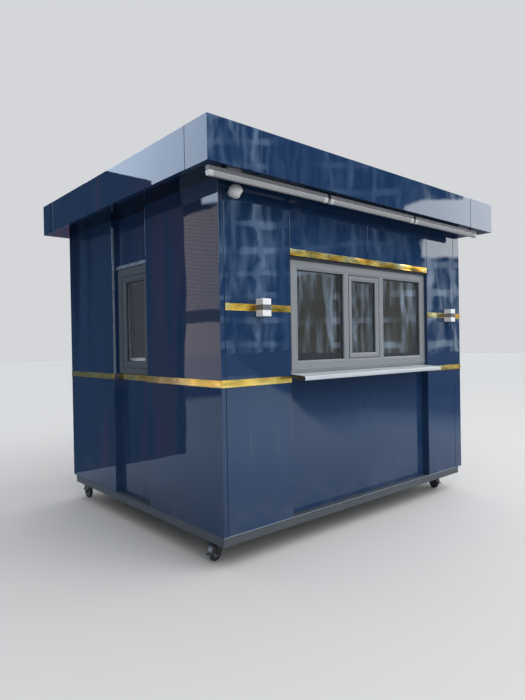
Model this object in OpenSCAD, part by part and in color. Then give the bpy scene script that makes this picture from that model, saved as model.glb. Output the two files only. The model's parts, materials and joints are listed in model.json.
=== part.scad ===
// Mobile street kiosk: a steel base frame on four swivel castors, insulated walls
// clad in glossy composite cassettes, a flat boxed roof that overhangs every side,
// a three-light serving window over a shelf, and a narrow side window.
// Millimetres. +Z is up, the serving front faces -Y.
// The origin is on the ground, under the middle of the roof's outline.

/* [Body] */
// Width of the serving front, between outer cladding faces
body_w = 3000; // [2600:10:3600]
// Depth of the side walls, between outer cladding faces
body_d = 2480; // [2200:10:3000]
// Height of the wall cladding
wall_h = 2354; // [2280:1:2600]
// Depth of a cladding cassette
clad_t = 20; // [12:1:30]
// Thickness of the insulated wall behind the cassettes
core_t = 100; // [70:1:140]
// Open joint between two cassettes
seam = 5; // [2:0.5:10]
// Bevel on the folded edges of the cassettes
edge_bevel = 1.5; // [0.5:0.1:4]
// Thickness of the folded returns in the bays' sides
jamb_t = 4; // [2:0.5:8]

/* [Base frame] */
// Height of the base rails
base_h = 60; // [40:1:100]
// Width of the base rails
rail_w = 100; // [80:1:120]
// How far the right and rear walls stand past the base
base_setback = 64; // [20:1:90]
// Number of inner cross rails
cross_rail_count = 3; // [2:1:5]
// Thickness of the floor deck
floor_t = 21; // [12:1:30]
// Thickness of the castor seats in the frame's corners
seat_t = 8; // [5:1:12]
// Seam in the front rail's plating, from its left end
base_seam_x = 1216; // [600:1:1800]

/* [Roof] */
// Front overhang
over_front = 206; // [150:1:300]
// Left overhang
over_left = 226; // [150:1:300]
// Right overhang
over_right = 284; // [150:1:350]
// Rear overhang
over_rear = 62; // [40:1:200]
// Height of the fascia
fascia_h = 276; // [200:1:400]
// Depth of the fascia cassettes
fascia_t = 40; // [25:1:60]
// Length of the corner cassettes along the front and rear
fascia_corner_x = 420; // [250:5:600]
// Length of the corner cassettes along the sides
fascia_corner_y = 242; // [150:1:500]
// Thickness of the soffit
soffit_t = 14; // [6:1:30]
// Thickness of the ceiling lining in the room
ceiling_t = 12; // [6:1:30]
// Thickness of the roof deck
deck_t = 40; // [20:1:80]
// Fascia height that stands above the deck as a parapet
parapet_h = 55; // [20:1:100]
// Height of the standing ribs on the deck
rib_h = 22; // [8:1:30]
// Number of standing ribs on the deck
rib_count = 7; // [3:1:12]

/* [Serving front] */
// Width of the left pillar
pillar_left_w = 632; // [400:1:750]
// Width of the right pillar
pillar_right_w = 584; // [400:1:700]
// Fold of the left wall's first cassette round the near corner
fold_left = 36; // [25:1:80]
// Fold of the right wall's first cassette round the corner
fold_right = 107; // [60:1:160]
// Height of the header's lower edge over the cladding's foot
header_z = 1902; // [1800:1:1980]
// Header seam, from the right end of the left pillar
header_seam_x = 902; // [300:1:1300]
// Depth of the recess below the header
bay_step = 65; // [40:1:75]

/* [Serving window] */
// Lower edge of the window frame over the cladding's foot
window_z = 1064; // [900:1:1150]
// Height of the window frame
window_h = 817; // [600:1:817]
// Set back of the window frame's face
window_step = 32; // [15:1:50]
// Hidden packer between the left pillar and the window frame
window_packer = 36; // [10:1:60]
// Depth of the window frames
frame_depth = 70; // [50:1:80]
// Width of the outer frame
frame_face = 70; // [50:1:90]
// Width of the mullions
mullion_w = 60; // [40:1:80]
// Width of the left fixed light
light_left_w = 526; // [350:1:650]
// Width of the middle sash
sash_w = 400; // [300:1:500]
// Width of the sash profile
sash_face = 42; // [30:1:60]
// Thickness of the glazing
glass_t = 24; // [6:1:32]
// Set back of the glazing from the frame's face
glass_step = 26; // [10:1:34]
// Height of the sill profile under the window
sill_h = 18; // [10:1:30]
// How far the glazing reaches into the frames' grooves
glass_bite = 12; // [8:1:16]
// Width of the glazing beads
bead_w = 18; // [14:1:24]
// Fall of the beads' face towards the glass
bead_fall = 6; // [3:0.5:9]

/* [Serving shelf] */
// How far the shelf stands out from the pillars
shelf_reach = 137; // [80:1:190]
// Thickness of the shelf board
shelf_t = 18; // [12:1:26]
// Fall of the shelf's top from back to front
shelf_fall = 16; // [4:1:24]
// Height of the shelf's front nose
shelf_nose = 32; // [24:1:44]
// Thickness of the shelf's end caps
shelf_cap_t = 3; // [2:0.5:6]
// Number of shelf brackets
bracket_count = 3; // [2:1:4]
// Thickness of the shelf brackets
bracket_t = 6; // [4:1:12]
// Depth of the brackets below the apron's top
bracket_drop = 22; // [12:1:60]

/* [Left wall] */
// Near edge of the recessed bay
side_bay_y = 962; // [700:1:1100]
// Width of the recessed bay
side_bay_w = 590; // [450:1:700]
// Depth of the recessed bay
side_bay_step = 50; // [30:1:60]
// Lower edge of the side window over the cladding's foot
side_window_z = 1032; // [900:1:1200]
// Height of the side window's frame
side_window_h = 885; // [600:1:1000]
// Width of the side window's frame profile
side_frame_face = 67; // [50:1:80]
// Width of the side window frame's lower profile
side_frame_foot = 46; // [35:1:80]
// Width of the side sash profile
side_sash_face = 53; // [40:1:70]
// Packer between the side window's frame and the bay's far side
side_packer = 30; // [15:1:50]
// Height of the flashing over the side window
side_head_h = 32; // [20:1:50]
// Open joint under that flashing
side_head_joint = 6; // [3:1:12]

/* [Right wall] */
// Near edge of the doorway
door_y = 810; // [600:5:1000]
// Width of the doorway
door_w = 860; // [760:5:1000]
// Height of the doorway
door_h = 2060; // [1950:5:2150]
// Set back of the door frame's face
door_step = 20; // [10:1:40]
// Width of the door frame profile
door_frame_face = 60; // [40:1:80]
// Height of the door handle over the cladding's foot
handle_z = 1050; // [900:5:1150]
// Handle's spindle from the leaf's edge
handle_inset = 57; // [45:1:80]
// Height of the handle's plate
handle_plate_h = 220; // [150:5:260]
// Length of the handle's grip
handle_len = 125; // [100:5:150]
// Height of the door hinges
hinge_h = 100; // [70:1:140]
// Hinges from the leaf's upper and lower edges
hinge_inset = 220; // [150:1:300]

/* [Gold trim] */
// Height of the gold strips
gold_h = 48; // [20:1:80]
// Thickness of the gold strips
gold_t = 3; // [1:0.5:6]
// Lower strip over the cladding's foot
gold_low_z = 980; // [900:1:1000]
// Upper strip over the cladding's foot
gold_high_z = 1486; // [1300:1:1700]

/* [Lights] */
// Length of one linear light
bar_len = 1054; // [900:2:1080]
// Gap between two linear lights
bar_gap = 30; // [10:1:60]
// Number of linear lights
bar_count = 3; // [1:1:3]
// Left end of the row of lights, from the roof's left edge
bar_start = 27; // [5:1:100]
// Axis of the lights, behind the fascia's face
bar_inset = 42; // [30:1:120]
// Gap between the soffit and the lights
bar_drop = 16; // [12:1:60]
// Width of the lights' aluminium body
bar_w = 34; // [24:1:50]
// Height of the lights' aluminium body
bar_body_h = 28; // [20:1:40]
// Number of grooves along each face of the body
bar_groove_count = 4; // [2:1:6]
// Height of the joint between the body and the diffuser
bar_joint = 3; // [1:0.5:6]
// Height of the lights' diffuser
bar_lens_h = 31; // [24:1:45]
// How far the diffuser stands out past the body on each side
bar_lens_proud = 3; // [0:0.5:6]
// Length of the diffuser's end caps
bar_cap_len = 36; // [10:1:60]
// Hangers from the ends of each light
bar_clip_inset = 90; // [40:5:300]
// Diameter of the plug links between the lights
link_d = 12; // [6:1:18]
// Junction block over the first light, from its left end
junction_x = 146; // [60:1:400]
// Length of the junction block
junction_len = 106; // [80:1:200]
// Width of the wall lamps
lamp_w = 76; // [50:1:100]
// Height of the wall lamps
lamp_h = 120; // [80:1:160]
// Height of the wall lamps' metal band
lamp_band_h = 36; // [20:1:60]
// Left wall lamp's middle, from the near corner
lamp_left_x = 338; // [200:1:500]
// Right wall lamp's middle, from the right pillar's left edge
lamp_right_x = 325; // [150:1:400]

/* [Camera] */
// Camera's middle, from the near corner
camera_x = 107; // [80:1:300]
// Camera's middle, below the soffit
camera_drop = 95; // [70:1:200]
// Diameter of the camera's ball
camera_ball_d = 94; // [70:1:110]
// Ball's middle, in front of the cladding
camera_out = 50; // [40:1:70]
// Diameter of the camera's base
camera_base_d = 56; // [45:1:70]
// Thickness of the camera's base
camera_base_t = 14; // [12:1:20]
// Diameter of the flat window for its lens
camera_lens_d = 38; // [24:1:50]
// How far the lens looks down
camera_tilt = 34; // [0:1:60]

/* [Castors] */
// Height of the base frame's underside over the ground
castor_h = 163; // [150:1:180]
// Wheel diameter
wheel_d = 125; // [100:1:130]
// Wheel width
wheel_w = 32; // [24:1:40]
// Axle set back from the swivel axis
trail = 40; // [30:1:50]
// Front swivel axes from the ends of the base
front_castor_x = 121; // [80:1:160]
// Front swivel axes from the front of the base
front_castor_y = 229; // [120:1:300]
// Rear swivel axes from the ends of the base
rear_castor_x = 97; // [80:1:160]
// Rear swivel axes from the rear of the base
rear_castor_y = 95; // [80:1:300]
// Gap between a wheel and its fork
castor_clear = 5; // [4:0.5:8]
// Thickness of the castor's pressed steel
castor_steel_t = 4; // [3:0.5:6]
// Width of the brake pedal
pedal_w = 34; // [26:1:44]
// How far the release lever reaches from the swivel axis
lever_reach = 118; // [100:1:130]
// How far the pedal's foot stands out past the wheel
foot_reach = 26; // [15:1:35]

/* [Hidden] */
$fn = 48;

navy = "#20386b";
gold = "#d4af37";
frame_grey = "#7c8186";
steel_grey = "#54585c";
lining = "#d9dad6";
silver = "#c9cdcf";
opal = "#f2f3f0";
glass_tint = "#8fa3ad";
black = "#1d1e20";

// Heights
clad_z = castor_h + base_h;
soffit_z = clad_z + wall_h;
wall_t = clad_t + core_t;

// Roof outline, and where the walls' near left corner lies in the part's frame
roof_w = over_left + body_w + over_right;
roof_d = over_front + body_d + over_rear;
corner_x = over_left - roof_w / 2;
corner_y = over_front - roof_d / 2;

// Sashes and the door leaf: set back, thickness, joint line round them and the stop behind them
sash_step = 4;
sash_thinner = 10;
sash_depth = frame_depth - sash_thinner;
sash_joint = 2;
leaf_step = 8;
leaf_t = 50;
leaf_joint = 3;
stop_w = 10;
seat_gap = 0.3;
bead_line = 1.5;
frame_section = glazed_section(frame_face, frame_depth, glass_step);
sash_section = glazed_section(sash_face, sash_depth, glass_step - sash_step);
side_sash_section = glazed_section(side_sash_face, sash_depth, glass_step - sash_step);
threshold_h = 14;
threshold_z = floor_t + threshold_h;
leaf_w = door_w - 2 * door_frame_face;
leaf_h = door_h - door_frame_face - threshold_z;

// Door hinges: knuckle, and the flaps on the leaf and on the frame
hinge_d = 14;
hinge_flap_w = 28;
hinge_flap_t = 3;

// Serving front, in wall coordinates: x from the near corner, y inwards
bay_x0 = pillar_left_w;
bay_x1 = body_w - pillar_right_w;
bay_w = bay_x1 - bay_x0;
window_x0 = bay_x0 + window_packer;
window_w = bay_x1 - window_x0;
sash_x0 = window_x0 + frame_face + light_left_w + mullion_w;
light_right_x0 = sash_x0 + sash_w + mullion_w;
light_right_w = window_x0 + window_w - frame_face - light_right_x0;
light_h = window_h - 2 * frame_face;
sash_edge = sash_joint + sash_face;
sill_z = window_z - sill_h;

// Shelf: the top falls from the sill to the nose
shelf_back_y = bay_step + clad_t;
shelf_joint = 1;
shelf_top_z = sill_z - shelf_joint;
shelf_front_z = shelf_top_z - shelf_fall;
shelf_lip = 26;
shelf_nose_r = 7;
apron_gap = 19;
apron_top_z = shelf_top_z - shelf_t - apron_gap;
bracket_setback = 40;
function board_under(y) = shelf_top_z - shelf_t
    - shelf_fall * (shelf_back_y - y) / (shelf_back_y + shelf_reach - shelf_lip);

// Left wall bay
side_bay_y1 = side_bay_y + side_bay_w;
side_frame_proud = 10;
side_frame_step = side_bay_step - side_frame_proud;
side_frame_w = side_bay_w - side_packer;
side_light_w = side_frame_w - 2 * side_frame_face;
side_light_h = side_window_h - side_frame_face - side_frame_foot;
side_head_z = side_window_z + side_window_h + side_head_joint;

// Flashing over the side window: how far it stands past the frame, and its front edge
side_head_proud = 2;
side_head_lip = 3;

// Window sill's face behind the window frame's face
sill_step = 6;

// Small clearance between separate solids of one node
part_gap = 0.6;

// Half the foot of a standing rib
rib_foot = 16;

// Way the camera's lens looks, turned outwards from along the front
camera_turn = 44;

// Lights: chamfer and grooves of the bodies, the web that the diffuser hangs on, and its rounding
bar_chamfer = 4;
bar_groove = 1.6;
bar_web_inset = 4;
lens_side_h = 6;
lens_r = 9;
lens_flat = 8;
cap_proud = 1;

// Hangers of the lights: length, foot and head plates, and the web between them
clip_w = 24;
clip_foot = 9;
clip_head = 13;
clip_web = 3;
clip_plate_t = 2;

// Castors: swivel axis in wall coordinates, and the way the wheel trails at rest
base_w = body_w - base_setback;
base_d = body_d - base_setback;
base_groove = 3;
castor_axes = [
    [front_castor_x, front_castor_y, 201],
    [base_w - front_castor_x, front_castor_y, 248],
    [rear_castor_x, base_d - rear_castor_y, 90],
    [base_w - rear_castor_x, base_d - rear_castor_y, 86]];
wheel_r = wheel_d / 2;
hub_w = wheel_w + 2 * castor_clear - 0.6;
fork_inner = wheel_w / 2 + castor_clear;
plate_w = 90;
plate_l = 110;
plate_t = 5;
seat_margin = 10;
race_d = 62;
race_h = 13;
race_gap = 0.4;
crown_t = castor_steel_t;
crown_top = castor_h - plate_t - race_h;
axle_d = 12;
axle_head = 8;
crown_back = 30;
crown_front = 45;
axle_eye_r = 15;
axle_gap = 0.05;
nut_af = 19;
leg_rear_h = 14;
leg_front_h = 30;
leg_shoulder = 2;

// Wheel's profile: hub, web and the bands of the tyre
hub_r = 16;
hub_fillet = 3;
tyre_h = 15;
tyre_round = 5;
tyre_crown = 7;
rim_h = 5;
web_step = 6;

// Pedal: joint to the tyre, thickness of its foot, and the turned-up end of the lever
shoe_gap = 2;
foot_half = 4;
lever_rise = 5;
lever_end = 7;

// Helpers

function arc(cx, cy, r, a0, a1, steps = 6) =
    [for (i = [0:steps]) let (a = a0 + (a1 - a0) * i / steps) [cx + r * cos(a), cy + r * sin(a)]];

module on_body() translate([corner_x, corner_y, 0]) children();

module on_cladding() on_body() translate([0, 0, clad_z]) children();

// Turns a piece drawn on the front wall to the left, right or rear wall
module left_side() mirror([1, -1, 0]) children();

module right_side() translate([body_w, 0, 0]) mirror([1, 0, 0]) left_side() children();

module rear_side() translate([0, body_d, 0]) mirror([0, 1, 0]) children();

// A plan outline carried along x: the outline's first axis is depth, its second is height
module along_x(length) rotate([90, 0, 90]) linear_extrude(length) children();

// Slab between two corners
module slab(x0, x1, y0, y1, z0, z1) translate([x0, y0, z0]) cube([x1 - x0, y1 - y0, z1 - z0]);

// Flat cassette with its face on y = 0 and bevelled folds
module cassette(w, h, t = clad_t, c = edge_bevel) {
    intersection() {
        linear_extrude(h) polygon([[c, 0], [w - c, 0], [w, c], [w, t], [0, t], [0, c]]);
        along_x(w) polygon([[0, c], [c, 0], [t, 0], [t, h], [c, h], [0, h - c]]);
    }
}

module cassette_at(x0, x1, z0, z1, y = 0, t = clad_t)
    translate([x0, y, z0]) cassette(x1 - x0, z1 - z0, t);

// Cassette folded round an outer corner at the origin
module corner_cassette(a, b, h, t = clad_t, c = edge_bevel)
    linear_extrude(h)
        polygon([[c, 0], [a - c, 0], [a, c], [a, t], [t, t], [t, b], [c, b], [0, b - c], [0, c]]);

// Rectangular ring with its face on y = 0
module ring(w, h, face, depth)
    difference() {
        cube([w, depth, h]);
        translate([face, -1, face]) cube([w - 2 * face, depth + 2, h - 2 * face]);
    }

// Section of a window profile: first axis is depth, second is the way in from the outer edge
function plain_section(face, depth) = [[depth, 0], [edge_bevel, 0], [0, edge_bevel],
    [0, face - edge_bevel], [edge_bevel, face], [depth, face]];

// The same with a bead that falls towards the glass, and the groove that holds the glass
function glazed_section(face, depth, glass_y, c = edge_bevel) = concat(
    [[depth, 0]], c > 0 ? [[c, 0], [0, c]] : [[0, 0]],
    [[0, face - bead_w - bead_line], [bead_line, face - bead_w], [0, face - bead_w + bead_line],
     [bead_fall - bead_line, face - bead_line], [bead_fall, face],
     [glass_y, face], [glass_y, face - glass_bite], [glass_y + glass_t, face - glass_bite],
     [glass_y + glass_t, face], [depth, face]]);

// Outline seen from the front, carried through the whole depth of a frame
module mitre(outline)
    rotate([90, 0, 0]) linear_extrude(2 * frame_depth + 2, center = true) polygon(outline);

// Frame of four profiles with mitred corners. The lower one may have a face of its own.
module mitred_frame(w, h, face, section, foot, foot_section) {
    intersection() {
        along_x(w) polygon(foot_section);
        mitre([[0, 0], [w, 0], [w - face, foot], [face, foot]]);
    }
    translate([0, 0, h]) mirror([0, 0, 1]) intersection() {
        along_x(w) polygon(section);
        mitre([[0, 0], [w, 0], [w - face, face], [face, face]]);
    }
    for (side = [0, 1])
        translate([side * w, 0, 0]) mirror([side, 0, 0]) intersection() {
            linear_extrude(h) mirror([1, -1, 0]) polygon(section);
            mitre([[0, 0], [0, h], [face, h - face], [face, foot]]);
        }
}

// Upright between two lights, with a bead and a groove on both sides
module mullion(h)
    for (side = [0, 1])
        mirror([side, 0, 0]) linear_extrude(h) mirror([1, -1, 0])
            polygon(glazed_section(mullion_w / 2, frame_depth, glass_step, 0));

// Stop that a sash or leaf closes against: a narrow ring behind its back, out to the frame's back
module stop_ring(w, h, back)
    translate([0, back + seat_gap, 0]) ring(w, h, stop_w, frame_depth - back - seat_gap);

// Base and floor

module base_long_rails() color(steel_grey) on_body() translate([0, 0, castor_h]) {
    difference() {
        slab(0, base_w, 0, rail_w, 0, base_h);
        slab(base_seam_x, base_seam_x + base_groove, -1, base_groove, -1, base_h + 1);
    }
    slab(0, base_w, base_d - rail_w, base_d, 0, base_h);
}

// Plates welded into the frame's corners, which the castors are bolted to
module castor_seats()
    for (mx = [0, 1], my = [0, 1]) {
        reach_x = (my == 0 ? front_castor_x : rear_castor_x) + plate_w / 2 + seat_margin;
        reach_y = (my == 0 ? front_castor_y : rear_castor_y) + plate_l / 2 + seat_margin;
        translate([mx * base_w, my * base_d, 0]) mirror([mx, 0, 0]) mirror([0, my, 0])
            slab(rail_w, reach_x, rail_w, reach_y, 0, seat_t);
    }

module base_cross_rails() color(steel_grey) on_body() translate([0, 0, castor_h]) {
    bays = cross_rail_count + 1;
    for (i = [0:bays])
        translate([i * (base_w - rail_w) / bays, rail_w, 0]) cube([rail_w, base_d - 2 * rail_w, base_h]);
    castor_seats();
}

module floor_deck() color(lining) on_cladding()
    slab(wall_t, body_w - wall_t, wall_t, body_d - wall_t, 0, floor_t);

// Wall cores

// Wall beside a bay, drawn to the left of the bay's edge: its front part leaves room for the return
module wall_beside(x0, x1, y0, step) {
    slab(x0, x1 - jamb_t - part_gap, y0, wall_t, 0, wall_h);
    slab(x0, x1 - part_gap, step + clad_t, wall_t, 0, wall_h);
}

module front_wall_core() color(lining) on_cladding() {
    wall_beside(clad_t, bay_x0, clad_t, bay_step);
    translate([body_w, 0, 0]) mirror([1, 0, 0])
        wall_beside(clad_t, pillar_right_w, clad_t, bay_step);
    slab(bay_x0, bay_x1, bay_step + clad_t, wall_t, 0, window_z);
    slab(bay_x0, bay_x1, clad_t, wall_t, window_z + window_h, wall_h);
    slab(bay_x0, window_x0, window_step, wall_t, window_z + part_gap, window_z + window_h - part_gap);
}

module left_wall_core() color(lining) on_cladding() left_side() {
    inner = side_bay_step + clad_t;
    wall_beside(wall_t, side_bay_y, clad_t, side_bay_step);
    translate([body_d, 0, 0]) mirror([1, 0, 0])
        wall_beside(wall_t, body_d - side_bay_y1, clad_t, side_bay_step);
    slab(side_bay_y, side_bay_y1, inner, wall_t, 0, side_window_z);
    slab(side_bay_y, side_bay_y1, inner, wall_t, side_window_z + side_window_h, wall_h);
    slab(side_bay_y + side_frame_w, side_bay_y1, inner, wall_t,
        side_window_z + part_gap, side_window_z + side_window_h - part_gap);
}

module right_wall_core() color(lining) on_cladding() right_side() {
    slab(wall_t, door_y - part_gap, clad_t, wall_t, 0, wall_h);
    slab(door_y + door_w + part_gap, body_d - wall_t, clad_t, wall_t, 0, wall_h);
    slab(door_y, door_y + door_w, clad_t, wall_t, door_h, wall_h);
}

module rear_wall_core() color(lining) on_cladding() rear_side()
    slab(clad_t, body_w - clad_t, clad_t, wall_t, 0, wall_h);

// Cladding

// Return folded back from a cassette's edge into a bay, from x0 to x0 + jamb_t: its root lies in the cassette
module bay_return(x0, step) slab(x0, x0 + jamb_t, clad_t / 2, step + clad_t, 0, wall_h);

module front_left_pillar() color(navy) on_cladding() {
    cassette_at(fold_left + seam, bay_x0, 0, wall_h);
    bay_return(bay_x0 - jamb_t, bay_step);
}

module front_right_pillar() color(navy) on_cladding() {
    cassette_at(bay_x1, body_w - fold_right - seam, 0, wall_h);
    bay_return(bay_x1, bay_step);
}

module front_header() color(navy) on_cladding() {
    seam_x = bay_x0 + header_seam_x;
    cassette_at(bay_x0 + seam, seam_x - seam / 2, header_z, wall_h);
    cassette_at(seam_x + seam / 2, bay_x1 - seam, header_z, wall_h);
}

module front_apron() color(navy) on_cladding()
    cassette_at(bay_x0, bay_x1, 0, apron_top_z, bay_step);

module left_near_panel() color(navy) on_cladding() {
    corner_cassette(fold_left, side_bay_y, wall_h);
    left_side() bay_return(side_bay_y - jamb_t, side_bay_step);
}

module left_far_panel() color(navy) on_cladding() left_side() {
    cassette_at(side_bay_y1, body_d - clad_t - seam, 0, wall_h);
    bay_return(side_bay_y1, side_bay_step);
}

module left_bay_panels() color(navy) on_cladding() left_side() {
    cassette_at(side_bay_y, side_bay_y1, 0, side_window_z - seam, side_bay_step);
    cassette_at(side_bay_y, side_bay_y1, side_head_z + side_head_h, wall_h, side_bay_step);
    cassette_at(side_bay_y + side_frame_w, side_bay_y1,
        side_window_z, side_window_z + side_window_h, side_bay_step);
}

module right_panels() color(navy) on_cladding() {
    translate([body_w, 0, 0]) mirror([1, 0, 0]) corner_cassette(fold_right, door_y, wall_h);
    right_side() {
        cassette_at(door_y + door_w, body_d - clad_t - seam, 0, wall_h);
        cassette_at(door_y + seam, door_y + door_w - seam, door_h + seam, wall_h);
    }
}

module rear_panels() color(navy) on_cladding() rear_side() {
    part = body_w / 3;
    for (i = [0:2])
        cassette_at(i * part + (i > 0 ? seam / 2 : 0), (i + 1) * part - (i < 2 ? seam / 2 : 0), 0, wall_h);
}

// Roof, drawn from the roof's own near left corner

module on_roof() translate([-roof_w / 2, -roof_d / 2, soffit_z]) children();

module fascia_corners() color(navy) on_roof()
    for (mx = [0, 1], my = [0, 1])
        translate([mx * roof_w, my * roof_d, 0]) mirror([mx, 0, 0]) mirror([0, my, 0])
            corner_cassette(fascia_corner_x, fascia_corner_y, fascia_h, fascia_t);

module fascia_front() color(navy) on_roof()
    translate([fascia_corner_x + seam, 0, 0])
        cassette(roof_w - 2 * (fascia_corner_x + seam), fascia_h, fascia_t);

module fascia_rear() color(navy) on_roof()
    translate([fascia_corner_x + seam, roof_d, 0]) mirror([0, 1, 0])
        cassette(roof_w - 2 * (fascia_corner_x + seam), fascia_h, fascia_t);

module fascia_left() color(navy) on_roof() left_side()
    translate([fascia_corner_y + seam, 0, 0])
        cassette(roof_d - 2 * (fascia_corner_y + seam), fascia_h, fascia_t);

module fascia_right() color(navy) on_roof() translate([roof_w, 0, 0]) mirror([1, 0, 0]) left_side()
    translate([fascia_corner_y + seam, 0, 0])
        cassette(roof_d - 2 * (fascia_corner_y + seam), fascia_h, fascia_t);

module soffit() color(navy) on_roof()
    slab(fascia_t, roof_w - fascia_t, fascia_t, roof_d - fascia_t, 0, soffit_t);

module ceiling_panel() color(lining) on_cladding()
    slab(wall_t, body_w - wall_t, wall_t, body_d - wall_t, wall_h - ceiling_t, wall_h);

module roof_deck() color(steel_grey) on_roof() {
    deck_top = fascia_h - parapet_h;
    slab(fascia_t, roof_w - fascia_t, fascia_t, roof_d - fascia_t, deck_top - deck_t, deck_top);
    pitch = (roof_w - 2 * fascia_t) / (rib_count + 1);
    for (i = [1:rib_count])
        translate([fascia_t + i * pitch, fascia_t, deck_top])
            rotate([-90, 0, 0]) linear_extrude(roof_d - 2 * fascia_t)
                polygon([[-rib_foot, 1], [rib_foot, 1], [rib_foot / 2, -rib_h], [-rib_foot / 2, -rib_h]]);
}

// Gold strips: they stand on the cassettes' faces

module strip(x0, x1, z, y = 0) translate([x0, y - gold_t, z]) cube([x1 - x0, gold_t, gold_h]);

module gold_strips() color(gold) on_cladding() {
    strip(fold_left + seam, bay_x0, gold_high_z);
    strip(0, bay_x0, gold_low_z);
    strip(bay_x0 + seam, bay_x1 - seam, header_z);
    strip(bay_x1, body_w, gold_high_z);
    strip(bay_x1, body_w, gold_low_z);
    left_side() {
        strip(part_gap, side_bay_y, gold_low_z);
        strip(side_bay_y + part_gap, side_bay_y1 - part_gap, side_window_z - seam - gold_h, side_bay_step);
        strip(side_bay_y1, body_d, gold_low_z);
    }
    right_side() {
        strip(part_gap, door_y, gold_low_z);
        strip(door_y + door_w, body_d, gold_low_z);
    }
    rear_side() strip(0, body_w, gold_low_z);
}

// Serving window

module window_frame() color(frame_grey) on_cladding() translate([window_x0, window_step, window_z]) {
    mitred_frame(window_w, window_h, frame_face, frame_section, frame_face, frame_section);
    for (x = [sash_x0 - mullion_w, sash_x0 + sash_w])
        translate([x + mullion_w / 2 - window_x0, 0, frame_face - glass_bite])
            mullion(light_h + 2 * glass_bite);
    translate([sash_x0 - window_x0, 0, frame_face]) stop_ring(sash_w, light_h, sash_step + sash_depth);
}

module window_sash() color(frame_grey) on_cladding()
    translate([sash_x0 + sash_joint, window_step + sash_step, window_z + frame_face + sash_joint])
        mitred_frame(sash_w - 2 * sash_joint, light_h - 2 * sash_joint, sash_face, sash_section,
            sash_face, sash_section);

// Glazing of one light, with its edges in the grooves
module pane(x, w, z, h) translate([x - glass_bite, window_step + glass_step, z - glass_bite])
    cube([w + 2 * glass_bite, glass_t, h + 2 * glass_bite]);

module window_glass() color(glass_tint, 0.4) on_cladding() {
    pane(window_x0 + frame_face, light_left_w, window_z + frame_face, light_h);
    pane(light_right_x0, light_right_w, window_z + frame_face, light_h);
}

module sash_glass() color(glass_tint, 0.4) on_cladding()
    pane(sash_x0 + sash_edge, sash_w - 2 * sash_edge,
        window_z + frame_face + sash_edge, light_h - 2 * sash_edge);

module window_sill() color(frame_grey) on_cladding()
    slab(bay_x0, bay_x1, window_step + sill_step, bay_step + clad_t, sill_z, window_z);

// Shelf: a board with a rounded nose that turns down and back, closed by a cap at each end

function shelf_nose_line() = let (r = shelf_nose_r) concat(
    [[shelf_back_y, shelf_top_z]],
    arc(r - shelf_reach, shelf_front_z - r, r, 90, 180),
    arc(r - shelf_reach, shelf_front_z - shelf_nose + r, r, 180, 270),
    [[shelf_lip - shelf_reach, shelf_front_z - shelf_nose]]);

module serving_shelf() color(silver) on_cladding() translate([bay_x0 + shelf_cap_t, 0, 0])
    along_x(bay_w - 2 * shelf_cap_t) polygon(concat(shelf_nose_line(),
        [[shelf_lip - shelf_reach, board_under(shelf_lip - shelf_reach)],
         [shelf_back_y, board_under(shelf_back_y)]]));

module shelf_end_caps() color(black) on_cladding()
    for (x = [bay_x0, bay_x1 - shelf_cap_t])
        translate([x, 0, 0]) along_x(shelf_cap_t)
            polygon(concat(shelf_nose_line(), [[shelf_back_y, board_under(shelf_back_y)]]));

module shelf_brackets() color(black) on_cladding() {
    tip_y = bracket_setback - shelf_reach;
    for (i = [1:bracket_count])
        translate([bay_x0 + (i * bay_w - bracket_t) / (bracket_count + 1), 0, 0])
            along_x(bracket_t) polygon([
                [bay_step, apron_top_z - bracket_drop], [bay_step, board_under(bay_step)],
                [tip_y, board_under(tip_y)], [tip_y, board_under(tip_y) - bracket_drop / 2]]);
}

// Side window

module side_window_head() color(navy) on_cladding() left_side()
    translate([side_bay_y, 0, side_head_z]) along_x(side_bay_w) polygon([
        [side_bay_step + clad_t, 0], [side_frame_step - side_head_proud, 0],
        [side_frame_step - side_head_proud, side_head_lip],
        [side_bay_step, side_head_h], [side_bay_step + clad_t, side_head_h]]);

module side_window_frame() color(frame_grey) on_cladding() left_side()
    translate([side_bay_y, side_frame_step, side_window_z]) {
        mitred_frame(side_frame_w, side_window_h,
            side_frame_face, plain_section(side_frame_face, frame_depth),
            side_frame_foot, plain_section(side_frame_foot, frame_depth));
        translate([side_frame_face, 0, side_frame_foot])
            stop_ring(side_light_w, side_light_h, sash_step + sash_depth);
    }

module side_window_sash() color(frame_grey) on_cladding() left_side()
    translate([side_bay_y + side_frame_face + sash_joint, side_frame_step + sash_step,
            side_window_z + side_frame_foot + sash_joint])
        mitred_frame(side_light_w - 2 * sash_joint, side_light_h - 2 * sash_joint,
            side_sash_face, side_sash_section, side_sash_face, side_sash_section);

module side_window_glass() color(glass_tint, 0.4) on_cladding() left_side() {
    edge = sash_joint + side_sash_face - glass_bite;
    translate([side_bay_y + side_frame_face + edge, side_frame_step + glass_step,
            side_window_z + side_frame_foot + edge])
        cube([side_light_w - 2 * edge, glass_t, side_light_h - 2 * edge]);
}

// Door in the right wall

module door_frame() color(frame_grey) on_cladding() right_side() translate([door_y, door_step, 0]) {
    difference() {
        cube([door_w, frame_depth, door_h]);
        translate([door_frame_face, -1, threshold_z]) cube([leaf_w, frame_depth + 2, leaf_h]);
    }
    translate([door_frame_face, 0, threshold_z]) stop_ring(leaf_w, leaf_h, leaf_step + leaf_t);
}

module door_leaf() color(navy) on_cladding() right_side()
    translate([door_y + door_frame_face + leaf_joint, door_step + leaf_step, threshold_z + leaf_joint])
        cassette(leaf_w - 2 * leaf_joint, leaf_h - 2 * leaf_joint, leaf_t);

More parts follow.
